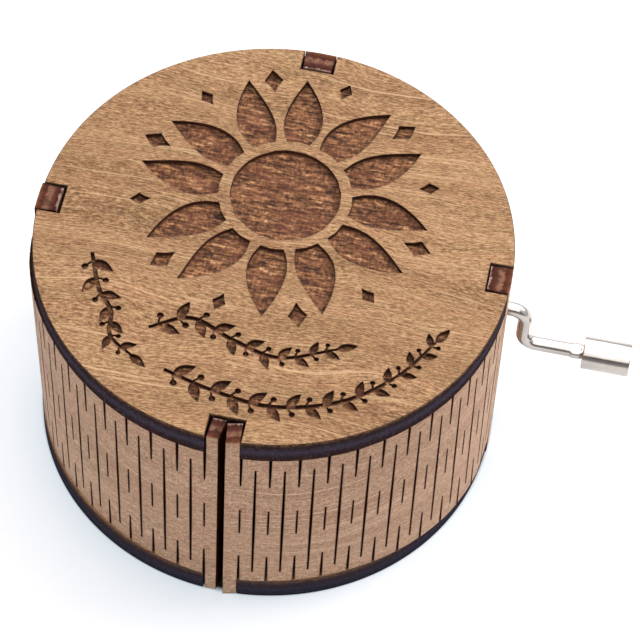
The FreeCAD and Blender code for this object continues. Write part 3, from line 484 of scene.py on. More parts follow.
def disc_outline(inset):
    """The disc's outline with its four mortises, all drawn back into the wood by inset."""
    radius = RADIUS - inset
    mouths = []
    for angle, before, after, depth in MORTISES:
        turn = math.radians(angle)
        outwards = on_circle([turn], 1.0)[0]
        along = np.array([-outwards[1], outwards[0]])
        floor = RADIUS - depth - inset
        sides = [-(before + inset), after + inset]
        corners = [outwards * floor + along * side for side in sides]
        start, end = (turn + math.asin(side / radius) for side in sides)
        mouths.append((start, corners, end))
    outline = []
    for (start, corners, end), (next_start, *_) in zip(mouths, mouths[1:] + mouths[:1]):
        outline += corners
        stop = next_start if next_start > end else next_start + 2 * math.pi
        outline += list(on_circle(np.linspace(end, stop, ARC_STEPS + 1), radius))
    return np.array(outline)


def disc_rim(solid, bottom, top):
    """The disc's edge, with a hair's breadth of rounding above and below."""
    rows = []
    for inset, z in (
        (RIM_BEVEL, bottom), (0, bottom + RIM_BEVEL), (0, (bottom + top) / 2),
        (0, top - RIM_BEVEL), (RIM_BEVEL, top),
    ):
        plan = disc_outline(inset)
        rows.append((level(plan, z), level(plan, (z - bottom) / (top - bottom))))
    for (lower, lower_place), (upper, upper_place) in zip(rows, rows[1:]):
        solid.band(lower, upper, EDGE, np.vstack([lower_place, upper_place]))


def trim(solid, reach, share=1.0):
    """Draw the left and right of a disc in towards its middle."""
    solid.points[:, 0] -= reach * share * (solid.points[:, 0] / RADIUS) ** TRIM_POWER


def flat_face(solid, z, share, holes):
    """A disc's plain face with round holes in it."""
    outline = disc_outline(RIM_BEVEL)
    flat, faces = triangulate([outline] + holes)
    middle = flat[faces].mean(axis=1)
    kept = faces[in_outline(middle, outline) & ~in_any(middle, holes)]
    solid.add(level(flat, z), kept, FACE, level(flat, share))


# ---------------- lid

ENGRAVE_DEPTH = 0.7
ENGRAVE_RELIEF = 0.18   # how uneven the engraved floor is
BRINK_DEPTH = 0.9       # depth beside the brink, as a share of the full depth
FLOOR_SHARE = 0.85      # how far up in the ply the engraved floor lies
FLOOR_STEP = 0.36       # between the points of the engraved floor
HALO = 0.22             # width of the scorched brink of the engraving
BRINK_CHAR = 0.6
ROSETTE_Y = 7.3
HUB_RADIUS, HUB_STEPS, HUB_WOBBLE = 7.5, 96, 0.012
PETAL_ROOT, PETAL_TIP, PETAL_WIDTH, PETAL_COUNT = 8.9, 20.2, 5.3, 12
PETAL_SIDE = [(0.31, 0.0), (0.46, 0.17), (0.51, 0.36), (0.43, 0.58), (0.24, 0.80), (0.0, 1.0)]
PETAL_STEPS = 4
PETAL_HOLLOW = 0.02     # how far a petal's root is hollow, as a share of its length
PETAL_SWAY = (-1.1, 1.5)        # how far the tips of even and odd petals lean
LOZENGE_WIDTH, LOZENGE_LENGTH, LOZENGE_REACH = 2.6, 3.9, 19.6
LOZENGE_SIZE = (1.0, 0.72)      # of even and odd lozenges
VARY_LEVELS = (2.9, 12.9, 22.9)
LEAF_LENGTH, LEAF_WIDTH, LEAF_ANGLE = 3.3, 1.55, 48
TIP_LENGTH, TIP_WIDTH, TIP_SET_BACK = 2.9, 1.25, 0.3
STALK_LENGTH, STALK_WIDTH, STALK_STEPS, STALK_ANGLE = 1.5, 0.28, 4, 58
BERRY_RADIUS, BERRY_STEPS = 0.48, 12
STEM_STEPS, STEM_WIDTH, STEM_BELLY = 12, 0.30, 0.34
LEAF_START, LEAF_STOP = 1.3, 0.6        # along the stem, from its foot and its tip
LEAF_GAP, LEAF_GAP_LEAST = 2.5, 0.3
LEAF_SHRINK = 0.35      # how much smaller the leaves get towards the tip
SPRIGS = [              # points of the stem, and the side of its first leaf
    ([(-23.2, -7.6), (-21.0, -13.0), (-18.6, -16.2), (-17.8, -20.0), (-14.4, -22.4)], 1),
    ([(-13.2, -17.6), (-8.0, -15.0), (-2.0, -17.2), (4.5, -18.6), (11.8, -15.6)], -1),
    ([(-9.8, -23.6), (-3.0, -25.4), (5.0, -26.2), (13.5, -23.6), (20.0, -18.2), (24.2, -11.6)], 1),
]


def turned(outline, angle, x=0.0, y=0.0):
    """An outline turned anticlockwise about its origin, and then moved to (x, y)."""
    turn = math.radians(angle)
    rows = np.array([[math.cos(turn), math.sin(turn)], [-math.sin(turn), math.cos(turn)]])
    return outline @ rows + (x, y)


def petal(width, length, sway):
    """A petal along +Y from the rosette's centre, whose tip leans to one side."""
    side = smooth_curve([(half * width, along * length) for half, along in PETAL_SIDE], PETAL_STEPS)
    left = side[::-1] * (-1, 1)
    outline = np.vstack([side, left[1:], [(0, PETAL_HOLLOW * length)]])
    lean = sway * (outline[:, 1] / length) ** 3
    return outline + np.column_stack([lean, np.full(len(outline), PETAL_ROOT)])


def lozenge(width, length):
    """A small four-pointed drop with hollow sides below."""
    right = [(0.22, -0.22), (0.5, 0.02), (0.26, 0.26)]
    left = [(-across, along) for across, along in right[::-1]]
    return np.array([(0, -0.52)] + right + [(0, 0.5)] + left) * (width, length)


def leaf(length, width):
    """A leaf that points along +Y from its own foot."""
    shares = np.linspace(0, 1, 9)
    half = width / 2 * np.sin(shares ** 0.8 * math.pi)
    right = np.column_stack([half, shares * length])
    left = np.column_stack([-half, shares * length])[::-1][1:-1]
    return np.vstack([right, left])


def stroke(curve, width):
    """Outline of a line drawn along a curve, of one width or of its own at each point."""
    along = np.gradient(curve, axis=0)
    along /= np.linalg.norm(along, axis=1, keepdims=True)
    half = np.broadcast_to(width, len(curve))[:, None] / 2
    side = np.column_stack([along[:, 1], -along[:, 0]]) * half
    return np.vstack([curve + side, (curve - side)[::-1]])


def sprig(points, first_side):
    """A stem with leaves and berries by turns on both sides."""
    curve = smooth_curve(points, STEM_STEPS)
    reach = np.concatenate([[0], np.cumsum(np.linalg.norm(np.diff(curve, axis=0), axis=1))])
    total = reach[-1]

    def at(place):
        return np.array([np.interp(place, reach, curve[:, axis]) for axis in (0, 1)])

    def heading(start, end):
        """Degrees from +Y to the way from start to end."""
        return math.degrees(math.atan2(*(end - start)[::-1])) - 90

    belly = np.sin(np.linspace(0.15, 1, len(curve)) * math.pi) ** 0.7
    outlines = [stroke(curve, STEM_WIDTH + STEM_BELLY * belly)]
    side = first_side
    place = LEAF_START
    while place < total - LEAF_STOP:
        spot = at(place)
        ahead = heading(spot, at(place + 0.3))
        size = 1.0 - LEAF_SHRINK * place / total
        blade = leaf(LEAF_LENGTH * size, LEAF_WIDTH * size)
        outlines.append(turned(blade, ahead + side * LEAF_ANGLE, *spot))
        stalk = turned([(0, 0), (0, STALK_LENGTH * size)], ahead - side * STALK_ANGLE, *spot)
        outlines.append(stroke(smooth_curve(stalk, STALK_STEPS), STALK_WIDTH))
        outlines.append(circle(*stalk[1], BERRY_RADIUS * size, BERRY_STEPS))
        side = -side
        place += LEAF_GAP * size + LEAF_GAP_LEAST
    tip = leaf(TIP_LENGTH, TIP_WIDTH) - (0, TIP_SET_BACK)
    return outlines + [turned(tip, heading(curve[-2], curve[-1]), *curve[-1])]


def lid_engraving():
    """Everything that the laser hollows out of the lid, as closed outlines."""
    hub = circle(0, 0, HUB_RADIUS, HUB_STEPS)
    wobble = np.array([noise.noise(Vector((x * 0.9, y * 0.9, 4.0))) for x, y in hub])
    outlines = [hub * (1 + HUB_WOBBLE * wobble[:, None])]
    for index in range(PETAL_COUNT):
        vary = Vector([noise.noise(Vector((index * 3.7, 1.3, z))) for z in VARY_LEVELS])
        shape = petal(
            PETAL_WIDTH * (0.97 + 0.06 * vary.x),
            (PETAL_TIP - PETAL_ROOT) * (0.98 + 0.04 * vary.y),
            PETAL_SWAY[index % 2] + 0.5 * vary.z,
        )
        outlines.append(turned(shape, index * 360 / PETAL_COUNT))
        size = LOZENGE_SIZE[index % 2]
        angle = (index + 0.5) * 360 / PETAL_COUNT + 3 * vary.z
        drop = lozenge(LOZENGE_WIDTH * size, LOZENGE_LENGTH * size) + (0, LOZENGE_REACH)
        outlines.append(turned(drop, angle))
    outlines = [outline + (0, ROSETTE_Y) for outline in outlines]
    for points, first_side in SPRIGS:
        outlines += sprig(points, first_side)
    return outlines


def floor_spots(outlines):
    """Points strewn evenly over the engraved floor, for its relief."""
    half = RADIUS / FLOOR_STEP
    steps = np.arange(-int(half), int(half) + 1)
    x, y = np.meshgrid(steps, steps)
    x = x + 0.5 * (y % 2)
    spots = np.column_stack([x.ravel(), y.ravel() * 0.87]) * FLOOR_STEP
    spots = spots[in_any(spots, outlines)]
    rims = np.vstack(outlines)
    clear = [np.hypot(*(rims - spot).T).min() > 0.3 * FLOOR_STEP for spot in spots]
    return spots[clear]


def floor_relief(x, y):
    """Long and short ripples along the grain."""
    ripples = noise.noise(Vector((x * 0.7, y * 2.2, 1.0)))
    return ripples + 0.6 * noise.noise(Vector((x * 1.8, y * 4.6, 5.0)))


def make_lid():
    """One net of triangles. Those inside the engraving are sunk, and the edges between them and
    the rest become its sides."""
    outline = disc_outline(RIM_BEVEL)
    carved = lid_engraving()
    spots = floor_spots(carved)
    halo = np.vstack([offset(shape, reach) for reach in (-HALO, HALO) for shape in carved])
    halo = halo[~in_any(halo, carved) & in_outline(halo, disc_outline(3 * RIM_BEVEL))]
    flat, faces = triangulate([outline] + carved, spots=np.vstack([spots, halo]))
    middle = flat[faces].mean(axis=1)
    in_disc = in_outline(middle, outline)
    sunk = in_any(middle, carved) & in_disc
    kept = in_disc & ~sunk

    brink = np.zeros(len(flat), bool)
    walls = []
    for (a, b), beside in edge_pairs(faces).items():
        if len(beside) == 2 and sunk[beside[0]] != sunk[beside[1]] and in_disc[beside].all():
            brink[[a, b]] = True
            walls.append((a, b))
    relief = np.array([floor_relief(x, y) for x, y in flat])
    depth = np.where(brink, ENGRAVE_DEPTH * BRINK_DEPTH, ENGRAVE_DEPTH + ENGRAVE_RELIEF * relief)

    solid = Solid()
    top = level(flat, TOP), level(flat, 1.0)
    floor = level(flat, TOP - depth), level(flat, FLOOR_SHARE)
    solid.add(top[0], faces[kept], FACE, top[1], brink * BRINK_CHAR)
    solid.add(floor[0], faces[sunk], CARVED, floor[1], brink.astype(float))
    for edge in walls:
        solid.side(edge, top, floor, CARVED_SIDE)
    disc_rim(solid, LID_LOW.z, TOP)
    flat_face(solid, LID_LOW.z, 0.0, [])
    up_the_rim = np.clip((solid.points[:, 2] - LID_LOW.z) / (TOP - LID_LOW.z), 0, 1)
    trim(solid, LID_TRIM, np.where(solid.points[:, 0] > 0, 1.0, up_the_rim))
    lid = solid.mesh_object("engraved_lid", [LID_WOOD, LID_EDGE, ENGRAVED, CARVED_WALL])
    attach(lid, "case")
    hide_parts("lid_disc")


# ---------------- base

SCREW_SPOTS = [(x, y) for x in (-18, 18) for y in (-12, 13)]
SCREW_HOLE, SCREW_SINK = 1.1, 2.35      # radii of the hole and of its countersink
ROUND = 40              # points round a screw


def make_base():
    solid = Solid()
    bottom, top = BASE_LOW.z, BASE_HIGH.z
    throat = bottom + SCREW_SINK - SCREW_HOLE
    wide = [circle(x, y, SCREW_SINK, ROUND) for x, y in SCREW_SPOTS]
    narrow = [circle(x, y, SCREW_HOLE, ROUND) for x, y in SCREW_SPOTS]
    flat_face(solid, bottom, 1.0, wide)
    flat_face(solid, top, 0.0, narrow)
    disc_rim(solid, bottom, top)
    for mouth, bore in zip(wide, narrow):
        solid.band(level(mouth, bottom), level(bore, throat), EDGE)
        solid.band(level(bore, throat), level(bore, top), EDGE)
    trim(solid, BASE_TRIM)
    base = solid.mesh_object("base_plate", [BASE_WOOD, BASE_EDGE])
    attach(base, "case")
    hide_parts("base_disc")


# ---------------- wall

WALL_PLY = 3.0
PERIODS = 52            # columns of long slits
SEAM_HALF = 4.25        # degrees from the middle of the seam to the first column of slits
LONG_KERF = (0.22, 0.35, 0.22)      # a slit's width at one end, in the middle and at the other end
MIDDLE_KERF = (0.19, 0.24, 0.19)
OPEN_KERF = (0.38, 0.31, 0.20)      # from the end that opens at the strip's edge
KERF_HALO = 0.16        # width of the scorched brink of the slits
LONG_MARGIN, OPEN_SLIT, MIDDLE_SLIT = 2.6, 6.8, 6.2
OVERSHOOT = 0.5         # how far an open slit's outline runs past the strip's edge
TAB_WIDTH, SEAM_TAB_SHARE = 4.4, 0.9
TAB_LOW, TAB_HIGH = 0.1, TOP - 0.1
CORNER_CHAR = 0.5       # how far from its corners the char of a tab's end fades
NEAR_SIDE = 1e-4        # an end's corner is this near to its tab's side
SEAM_CHAR = 0.45        # how charred the ends of the seam's two tabs are at their sides
RIGHT_FREE = {"outer": (0.38, -32.85), "inner": (0.05, -29.85)}     # free edges at the seam
LEFT_FREE = {"outer": (-0.7, -32.35), "inner": (-0.2, -29.45)}
CRANK_HOLE, HOLE_STEPS = 2.5, 48
CRANK_Y, CRANK_Z = 8.0, 22.0
FACET_SINK = 0.05
# How far the springy wall stands out from the two rims: angle round the case and millimetres.
AT_BASE = [
    (-180, 0.0), (-172, 0.03), (-160, -0.22), (-135, -0.32), (-110, -0.24), (-97, 0.0), (-83, 0.0),
    (-72, -0.18), (-60, -0.12), (-50, 0.06), (-40, 0.30), (-30, 0.50), (-16, 0.42), (-8, 0.0),
]
AT_LID = [
    (-180, 0.0), (-176, 0.05), (-172, 0.28), (-166, 0.40), (-158, 0.36), (-148, 0.14),
    (-138, -0.05), (-97, 0.0), (-60, 0.0), (-45, -0.05), (-32, -0.14), (-20, -0.25), (-11, -0.25),
    (6, -0.25), (10, -0.14), (30, -0.1), (60, 0.0),
]


FIRST_ANGLE = -90 + SEAM_HALF
HINGE_ARC = 360 - 2 * SEAM_HALF
HINGE_LENGTH = math.radians(HINGE_ARC) * RADIUS
RIGHT_END, LEFT_END = on_circle(np.radians([FIRST_ANGLE, -90 - SEAM_HALF]), RADIUS)
RIGHT_PLATE = math.dist(RIGHT_FREE["outer"], RIGHT_END)
LEFT_PLATE = math.dist(LEFT_FREE["outer"], LEFT_END)
STRIP_LENGTH = RIGHT_PLATE + HINGE_LENGTH + LEFT_PLATE
FACET = HINGE_LENGTH / (2 * PERIODS)


def along_strip(angle):
    """Where an angle round the case lies on the flat strip."""
    return RIGHT_PLATE + math.radians(angle - FIRST_ANGLE) * RADIUS


def facet_corner(columns, radius, height):
    """Where columns of slits stand round the case. height is 0 at the base and 1 at the lid."""
    angle = FIRST_ANGLE + columns * HINGE_ARC / (2 * PERIODS)
    uneven = np.array([noise.noise(Vector((column * 0.83, 2.0, 7.0))) for column in columns])
    wrapped = (angle + 180) % 360 - 180
    reach = (1 - height) * np.interp(wrapped, *zip(*AT_BASE))
    reach += height * np.interp(wrapped, *zip(*AT_LID))
    there = radius - FACET_SINK * (0.5 + 0.5 * uneven) + reach
    return on_circle(np.radians(angle), 1.0) * there[:, None]


def bend(plan, face):
    """Roll points of the flat strip (along, z) round the case. The strip is flat between slits."""
    along = plan[:, 0] - RIGHT_PLATE
    radius = RADIUS if face == "outer" else RADIUS - WALL_PLY
    facet = np.clip(np.floor(along / FACET + HAIR), 0, 2 * PERIODS - 1)
    share = np.clip(along / FACET - facet, 0, 1)[:, None]
    height = np.clip((plan[:, 1] - WALL_LOW) / (WALL_HIGH - WALL_LOW), 0, 1)
    before, after = (facet_corner(columns, radius, height) for columns in (facet, facet + 1))
    rolled = before * (1 - share) + after * share
    for free, length, distance, column in (
        (RIGHT_FREE, RIGHT_PLATE, -along, 0),
        (LEFT_FREE, LEFT_PLATE, along - HINGE_LENGTH, 2 * PERIODS),
    ):
        fixed = facet_corner(np.array([column]), radius, 0.0)
        part = np.clip(distance / length, 0, 1)[:, None]
        plate = fixed * (1 - part) + np.array(free[face]) * part
        rolled = np.where(distance[:, None] > HAIR, plate, rolled)
    return level(rolled, plan[:, 1])


def slit(spot, low, high, widths, grow=0.0):
    """A slit's outline on the strip. widths run from its lower end to its upper one."""
    first, middle, last = (width / 2 + grow for width in widths)
    low, high = low - grow, high + grow
    right = [
        (first * 0.35, low), (first, low + first * 0.8),
        (middle, (low + high) / 2),
        (last, high - last * 0.8), (last * 0.35, high),
    ]
    left = [(-across, along) for across, along in right[::-1]]
    return np.array(right + left) + (spot, 0)


def slits(grow=0.0):
    """All slits of the strip: long ones, and one middle and two open ones, column by column."""
    middle, half = (WALL_LOW + WALL_HIGH) / 2, MIDDLE_SLIT / 2
    long_ones = [(WALL_LOW + LONG_MARGIN, WALL_HIGH - LONG_MARGIN, LONG_KERF)]
    short_ones = [
        (middle - half, middle + half, MIDDLE_KERF),
        (WALL_LOW - OVERSHOOT, WALL_LOW + OPEN_SLIT, OPEN_KERF),
        (WALL_HIGH - OPEN_SLIT, WALL_HIGH + OVERSHOOT, OPEN_KERF[::-1]),
    ]
    return [
        slit(RIGHT_PLATE + column * FACET, *ends_and_widths, grow)
        for column in range(2 * PERIODS + 1)
        for ends_and_widths in (long_ones if column % 2 else short_ones)
    ]


def tab_outline(left, right):
    """A box with points near its corners, where the char of its ends fades."""
    ends = [left, left + CORNER_CHAR, right - CORNER_CHAR, right]
    rows = [(along, TAB_LOW) for along in ends] + [(along, TAB_HIGH) for along in ends[::-1]]
    return np.array(rows)


def make_wall():
    """One net of triangles on the flat strip. It is bent twice, for the outer and the inner face,
    and the edges that only one kept triangle has become its sides."""
    half = TAB_WIDTH / 2
    spans = [(along_strip(angle) - half, along_strip(angle) + half) for angle in (0, 90, 180)]
    spans.append((0, RIGHT_PLATE * SEAM_TAB_SHARE))
    spans.append((STRIP_LENGTH - LEFT_PLATE * SEAM_TAB_SHARE, STRIP_LENGTH))
    tabs = [tab_outline(*span) for span in spans]
    tab_sides = np.concatenate([tab[[0, 3], 0] for tab in tabs])
    strip = np.array([
        (0, WALL_LOW), (STRIP_LENGTH, WALL_LOW), (STRIP_LENGTH, WALL_HIGH), (0, WALL_HIGH),
    ])
    hole = circle(CRANK_Y, CRANK_Z, CRANK_HOLE, HOLE_STEPS)
    hole[:, 0] = [along_strip(math.degrees(math.asin(y / RADIUS))) for y in hole[:, 0]]
    cuts = slits()
    halos = slits(KERF_HALO) + [offset(hole, KERF_HALO)]
    halos += [offset(outline, -KERF_HALO) for outline in tabs + [strip]]
    creases = [
        [(RIGHT_PLATE + column * FACET, z) for z in (TAB_LOW, WALL_LOW, WALL_HIGH, TAB_HIGH)]
        for column in range(2 * PERIODS + 1)
    ]
    flat, faces = triangulate([strip, hole] + tabs + cuts + halos, lines=creases)
    middle = flat[faces].mean(axis=1)
    in_body = in_outline(middle, strip)
    removed = (in_any(middle, cuts) & in_body) | in_outline(middle, hole)
    kept = faces[(in_body | in_any(middle, tabs)) & ~removed]

    rim = [edge for edge, beside in edge_pairs(kept).items() if len(beside) == 1]
    char = np.zeros(len(flat))
    char[np.unique(rim)] = 1.0
    outer = bend(flat, "outer"), level(flat, 1.0)
    inner = bend(flat, "inner"), level(flat, 0.0)
    solid = Solid()
    solid.add(outer[0], kept, FACE, outer[1], char)
    solid.add(inner[0], kept, FACE, inner[1], char)
    for a, b in rim:
        if flat[a][1] == flat[b][1] and not WALL_LOW <= flat[a][1] <= WALL_HIGH:
            ends = [float(np.abs(tab_sides - flat[end][0]).min() < NEAR_SIDE) for end in (a, b)]
            if not RIGHT_PLATE < flat[a][0] < STRIP_LENGTH - LEFT_PLATE:
                ends = [SEAM_CHAR * end for end in ends]
            solid.side((a, b), outer, inner, EDGE, ends + ends[::-1])
        else:
            solid.side((a, b), outer, inner, KERF_SIDE)
    wall = solid.mesh_object("living_hinge", [WALL_WOOD, WALL_EDGE, WALL_KERF], sharp=2)
    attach(wall, "case")
    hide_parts("hinge_wall")


# ---------------- crank

WIRE_RADIUS = 1.0
ARM_X = 34.64
THROW = 7.4
BEND = 2.1
WIRE_START, WIRE_END = -3.4, 50.0
PINCH_MIDDLE, PINCH_REACH, PINCH_SLOPE = 42.4, 0.85, 1.7
PINCH_HALF_WIDTH, PINCH_HALF_HEIGHT, PINCH_SQUARE = 1.15, 0.80, 0.7
PEEN_HEIGHT = 0.6
PEEN = [                # from the wire's end back, and radius
    (PEEN_HEIGHT - 0.04, 1.42), (0.44, 1.5), (0.26, 1.46), (0.12, 1.25), (0.03, 0.9), (0, 0.4),
]
KNOB_RADIUS, KNOB_EDGE, KNOB_BREAK = 2.35, 0.18, 0.054      # the edge is rounded in two steps
BORE, BORE_EDGE = 1.05, 0.1
RECESS_RADIUS, RECESS_DEPTH, RECESS_EDGE = 1.75, 0.81, 0.08
SECTION = 40            # points round the wire
BEND_STEPS = 13

PLATED = metal("nickel_plate", (193, 187, 182), 0.17, (1.2, 5.0, 5.0), 0.05)


def wire_line():
    """Middle line of the crank wire as (x, z, heading)."""
    high, low = CRANK_Z, CRANK_Z - THROW
    points = [(WIRE_START, high, 0.0)]
    points += [(x, high, 0.0) for x in np.linspace(0, ARM_X - BEND, 12)]
    turns = np.linspace(0, 90, BEND_STEPS)
    arc = list(zip(turns, BEND * np.sin(np.radians(turns)), BEND * (1 - np.cos(np.radians(turns)))))
    points += [(ARM_X - BEND + along, high - down, -turn) for turn, along, down in arc[1:]]
    points += [(ARM_X, z, -90.0) for z in np.linspace(high - BEND, low + BEND, 5)[1:]]
    points += [(ARM_X + BEND - along, low + down, -turn) for turn, along, down in arc[-2::-1]]
    before, after = PINCH_MIDDLE - PINCH_REACH, PINCH_MIDDLE + PINCH_REACH
    points += [(x, low, 0.0) for x in np.linspace(ARM_X + BEND, before, 4)[1:]]
    points += [(x, low, 0.0) for x in np.linspace(before, after, 21)[1:]]
    points.append((WIRE_END - PEEN_HEIGHT, low, 0.0))
    return points


def wire_ring(x, z, heading, width, height, corner=2.0):
    """A ring round the wire, which is squarer where corner is more than 2."""
    angle = math.radians(heading)
    upright = np.array([-math.sin(angle), 0, math.cos(angle)])
    swings = circle(0, 0, 1.0, SECTION)
    across, rise = (np.copysign(np.abs(swings) ** (2 / corner), swings) * (width, height)).T
    return np.outer(across, (0, 1, 0)) + (x, CRANK_Y, z) + np.outer(rise, upright)


def make_wire():
    solid = Solid()
    rings = []
    for x, z, heading in wire_line():
        near = max(0.0, 1 - abs(x - PINCH_MIDDLE) / PINCH_REACH) if z < CRANK_Z - BEND else 0.0
        squeeze = min(1.0, near * PINCH_SLOPE) ** 0.8
        width = WIRE_RADIUS + (PINCH_HALF_WIDTH - WIRE_RADIUS) * squeeze
        height = WIRE_RADIUS + (PINCH_HALF_HEIGHT - WIRE_RADIUS) * squeeze
        rings.append(wire_ring(x, z, heading, width, height, 2.0 + PINCH_SQUARE * squeeze))
    for back, radius in PEEN:
        rings.append(wire_ring(WIRE_END - back, CRANK_Z - THROW, 0.0, radius, radius))
    solid.bands(rings)
    solid.cap(rings[0])
    solid.cap(rings[-1])
    wire = solid.mesh_object("crank_wire", [PLATED], sharp=40)
    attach(wire, "crank")
    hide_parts("crank_rod")


def make_knob():
    start, end = KNOB_LOW.x, KNOB_HIGH.x
    profile = [
        (start, BORE + BORE_EDGE), (start, KNOB_RADIUS - KNOB_EDGE),
        (start + KNOB_BREAK, KNOB_RADIUS - KNOB_BREAK), (start + KNOB_EDGE, KNOB_RADIUS),
        (end - KNOB_EDGE, KNOB_RADIUS), (end - KNOB_BREAK, KNOB_RADIUS - KNOB_BREAK),
        (end, KNOB_RADIUS - KNOB_EDGE), (end, RECESS_RADIUS + RECESS_EDGE),
        (end - RECESS_EDGE, RECESS_RADIUS), (end - RECESS_DEPTH, RECESS_RADIUS),
        (end - RECESS_DEPTH, BORE), (start + BORE_EDGE, BORE),
    ]
    solid = Solid()
    low = CRANK_Z - THROW
    solid.bands([wire_ring(x, low, 0.0, radius, radius) for x, radius in profile], closed=True)
    knob = solid.mesh_object("crank_sleeve", [PLATED], sharp=25)
    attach(knob, "knob")
    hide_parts("crank_knob")


# ---------------- movement

MOVEMENT = [            # material, its colour as shown, roughness, streak and wear, and its pieces
    ("drawn_brass", (214, 178, 104), 0.30, (5.0, 0.8, 5.0), 0.10,
     ["shaft_collar", "worm", "worm_wheel", "cylinder_barrel", "barrel_end_cap"]),
    ("cast_zinc", (168, 168, 170), 0.48, (2.0, 2.0, 2.0), 0.12, ["bedplate"]),
    ("sheet_steel", (186, 184, 180), 0.36, (0.8, 5.0, 0.8), 0.10,
     ["shaft_post_inner", "shaft_post_outer", "arbor_bracket"]),
    ("comb_steel", (160, 164, 170), 0.28, (0.8, 6.0, 6.0), 0.10,
     ["comb", "retaining_clip", "cylinder_arbor"]),
    ("dull_lead", (104, 106, 112), 0.62, (3.0, 3.0, 3.0), 0.12, ["tuning_weights"]),
    ("screw_steel", (182, 182, 178), 0.32, (4.0, 4.0, 4.0), 0.10,
     ["shaft_post_screws", "arbor_bracket_screws", "comb_screws"]),
]


def finish_movement():
    """Materials for the pieces of the movement, which keep their CAD shapes. Gives the screws'."""
    for *settings, nodes in MOVEMENT:
        material = metal(*settings)
        for node in nodes:
            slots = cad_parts[node].data.materials
            slots.clear()
            slots.append(material)
    return material


SCREW_HEAD, SCREW_SHANK, SCREW_DEEP, SCREW_TIP = 2.2, 1.0, 0.15, 8.2
CROSS_ARM, CROSS_HALF, CROSS_DEPTH = 1.25, 0.22, 0.75
CROSS_TURN, CROSS_NEXT = 23, 41         # degrees of the first recess, and from each to the next


def cross(x, y, angle):
    """A cross recess's outline."""
    arm, half, corner = CROSS_ARM, CROSS_HALF, CROSS_HALF * 1.5
    shape = [
        (arm, -half), (arm, half), (corner, corner), (half, arm), (-half, arm),
        (-corner, corner), (-arm, half), (-arm, -half), (-corner, -corner),
        (-half, -arm), (half, -arm), (corner, -corner),
    ]
    return turned(shape, angle, x, y)


def make_screw_heads(material):
    """Four countersunk screws with cross recesses, seen from below."""
    solid = Solid()
    for index, (x, y) in enumerate(SCREW_SPOTS):
        z = BASE_LOW.z + SCREW_DEEP
        head = circle(x, y, SCREW_HEAD, ROUND)
        recess = cross(x, y, CROSS_TURN + index * CROSS_NEXT)
        flat, faces = triangulate([head, recess])
        middle = flat[faces].mean(axis=1)
        sunk = in_outline(middle, recess)
        solid.add(level(flat, z), faces[~sunk & in_outline(middle, head)])
        solid.add(level(flat, z + CROSS_DEPTH), faces[sunk])
        solid.bands([level(recess, z), level(recess, z + CROSS_DEPTH)])
        shank = circle(x, y, SCREW_SHANK, ROUND)
        throat = z + SCREW_HEAD - SCREW_SHANK
        solid.bands([level(head, z), level(shank, throat), level(shank, SCREW_TIP)])
        solid.cap(level(shank, SCREW_TIP))
    heads = solid.mesh_object("base_screws", [material])
    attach(heads, "case")
    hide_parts("mounting_screws")


# ---------------- studio

FLOOR_REACH = 6.0
FLOOR_DROP = 0.00002    # below the base's underside
FLOOR_SHADE = (0.0318, 0.0327)      # from dark to lit, by distance from the case's middle
FLOOR_BLUE_SHADE = (0.033, 0.052)        # painted bluish contact shade with a dimmer glow, from bluish to plain
FLOOR_FADE = (0.11, 0.42)           # from glowing to hardly, out of the photograph's sight
LIGHT_AIM = Vector((0, 0, 0.02))
WARM_WHITE = (1.0, 0.985, 0.96)


def make_floor():
    """A pale floor whose glow stands in for the light of a lit sweep, with a painted bluish contact
    shade beside the case and a painted black shadow under it.
    """
    look = Finish("studio_floor", 0.6)
    place = look.node("TexCoord").outputs["Object"]
    away = look.node("VectorMath", {0: place}, operation="LENGTH").outputs["Value"]
    outside = look.spread(away, *FLOOR_SHADE)
    mottle = look.noise(place, (6.0, 6.0, 6.0))
    pale = look.blend(look.spread(mottle, 0.3, 0.7), (0.50, 0.46, 0.43, 1), (0.52, 0.48, 0.45, 1))
    # painted shadow: the floor's colour is black under the case
    look.colour(look.blend(outside, (0.01, 0.01, 0.012, 1), pale))
    # painted contact shade: the glow is dimmer and bluer beside the case, and none under it
    near = look.maths("MULTIPLY", outside, look.spread(away, *FLOOR_BLUE_SHADE, 0.58, 0.68))
    glow = look.maths("MULTIPLY", near, look.spread(away, *FLOOR_FADE, 1.0, 0.1))
    look.shade("Emission Strength", glow)
    blue, white = (0.76, 0.89, 1.0, 1), (0.92, 0.93, 1.0, 1)
    tint = look.blend(look.spread(away, *FLOOR_BLUE_SHADE), blue, white)
    look.shade("Emission Color", tint)
    mesh = bpy.data.meshes.new("floor")
    corners = np.array([(-1, -1), (1, -1), (1, 1), (-1, 1)]) * FLOOR_REACH
    mesh.from_pydata(level(corners, -FLOOR_DROP).tolist(), [], [(0, 1, 2, 3)])
    mesh.materials.append(look.material)
    floor = add_object("floor", mesh)


def area_light(name, spot, size, watts, colour):
    """A soft light aimed at the case's middle."""
    lamp = bpy.data.lights.new(name, "AREA")
    lamp.shape = "RECTANGLE"
    lamp.size, lamp.size_y = size
    lamp.energy = watts
    lamp.color = colour
    item = add_object(name, lamp)
    item.location = spot
    item.rotation_euler = (LIGHT_AIM - Vector(spot)).to_track_quat("-Z", "Y").to_euler()
    return item


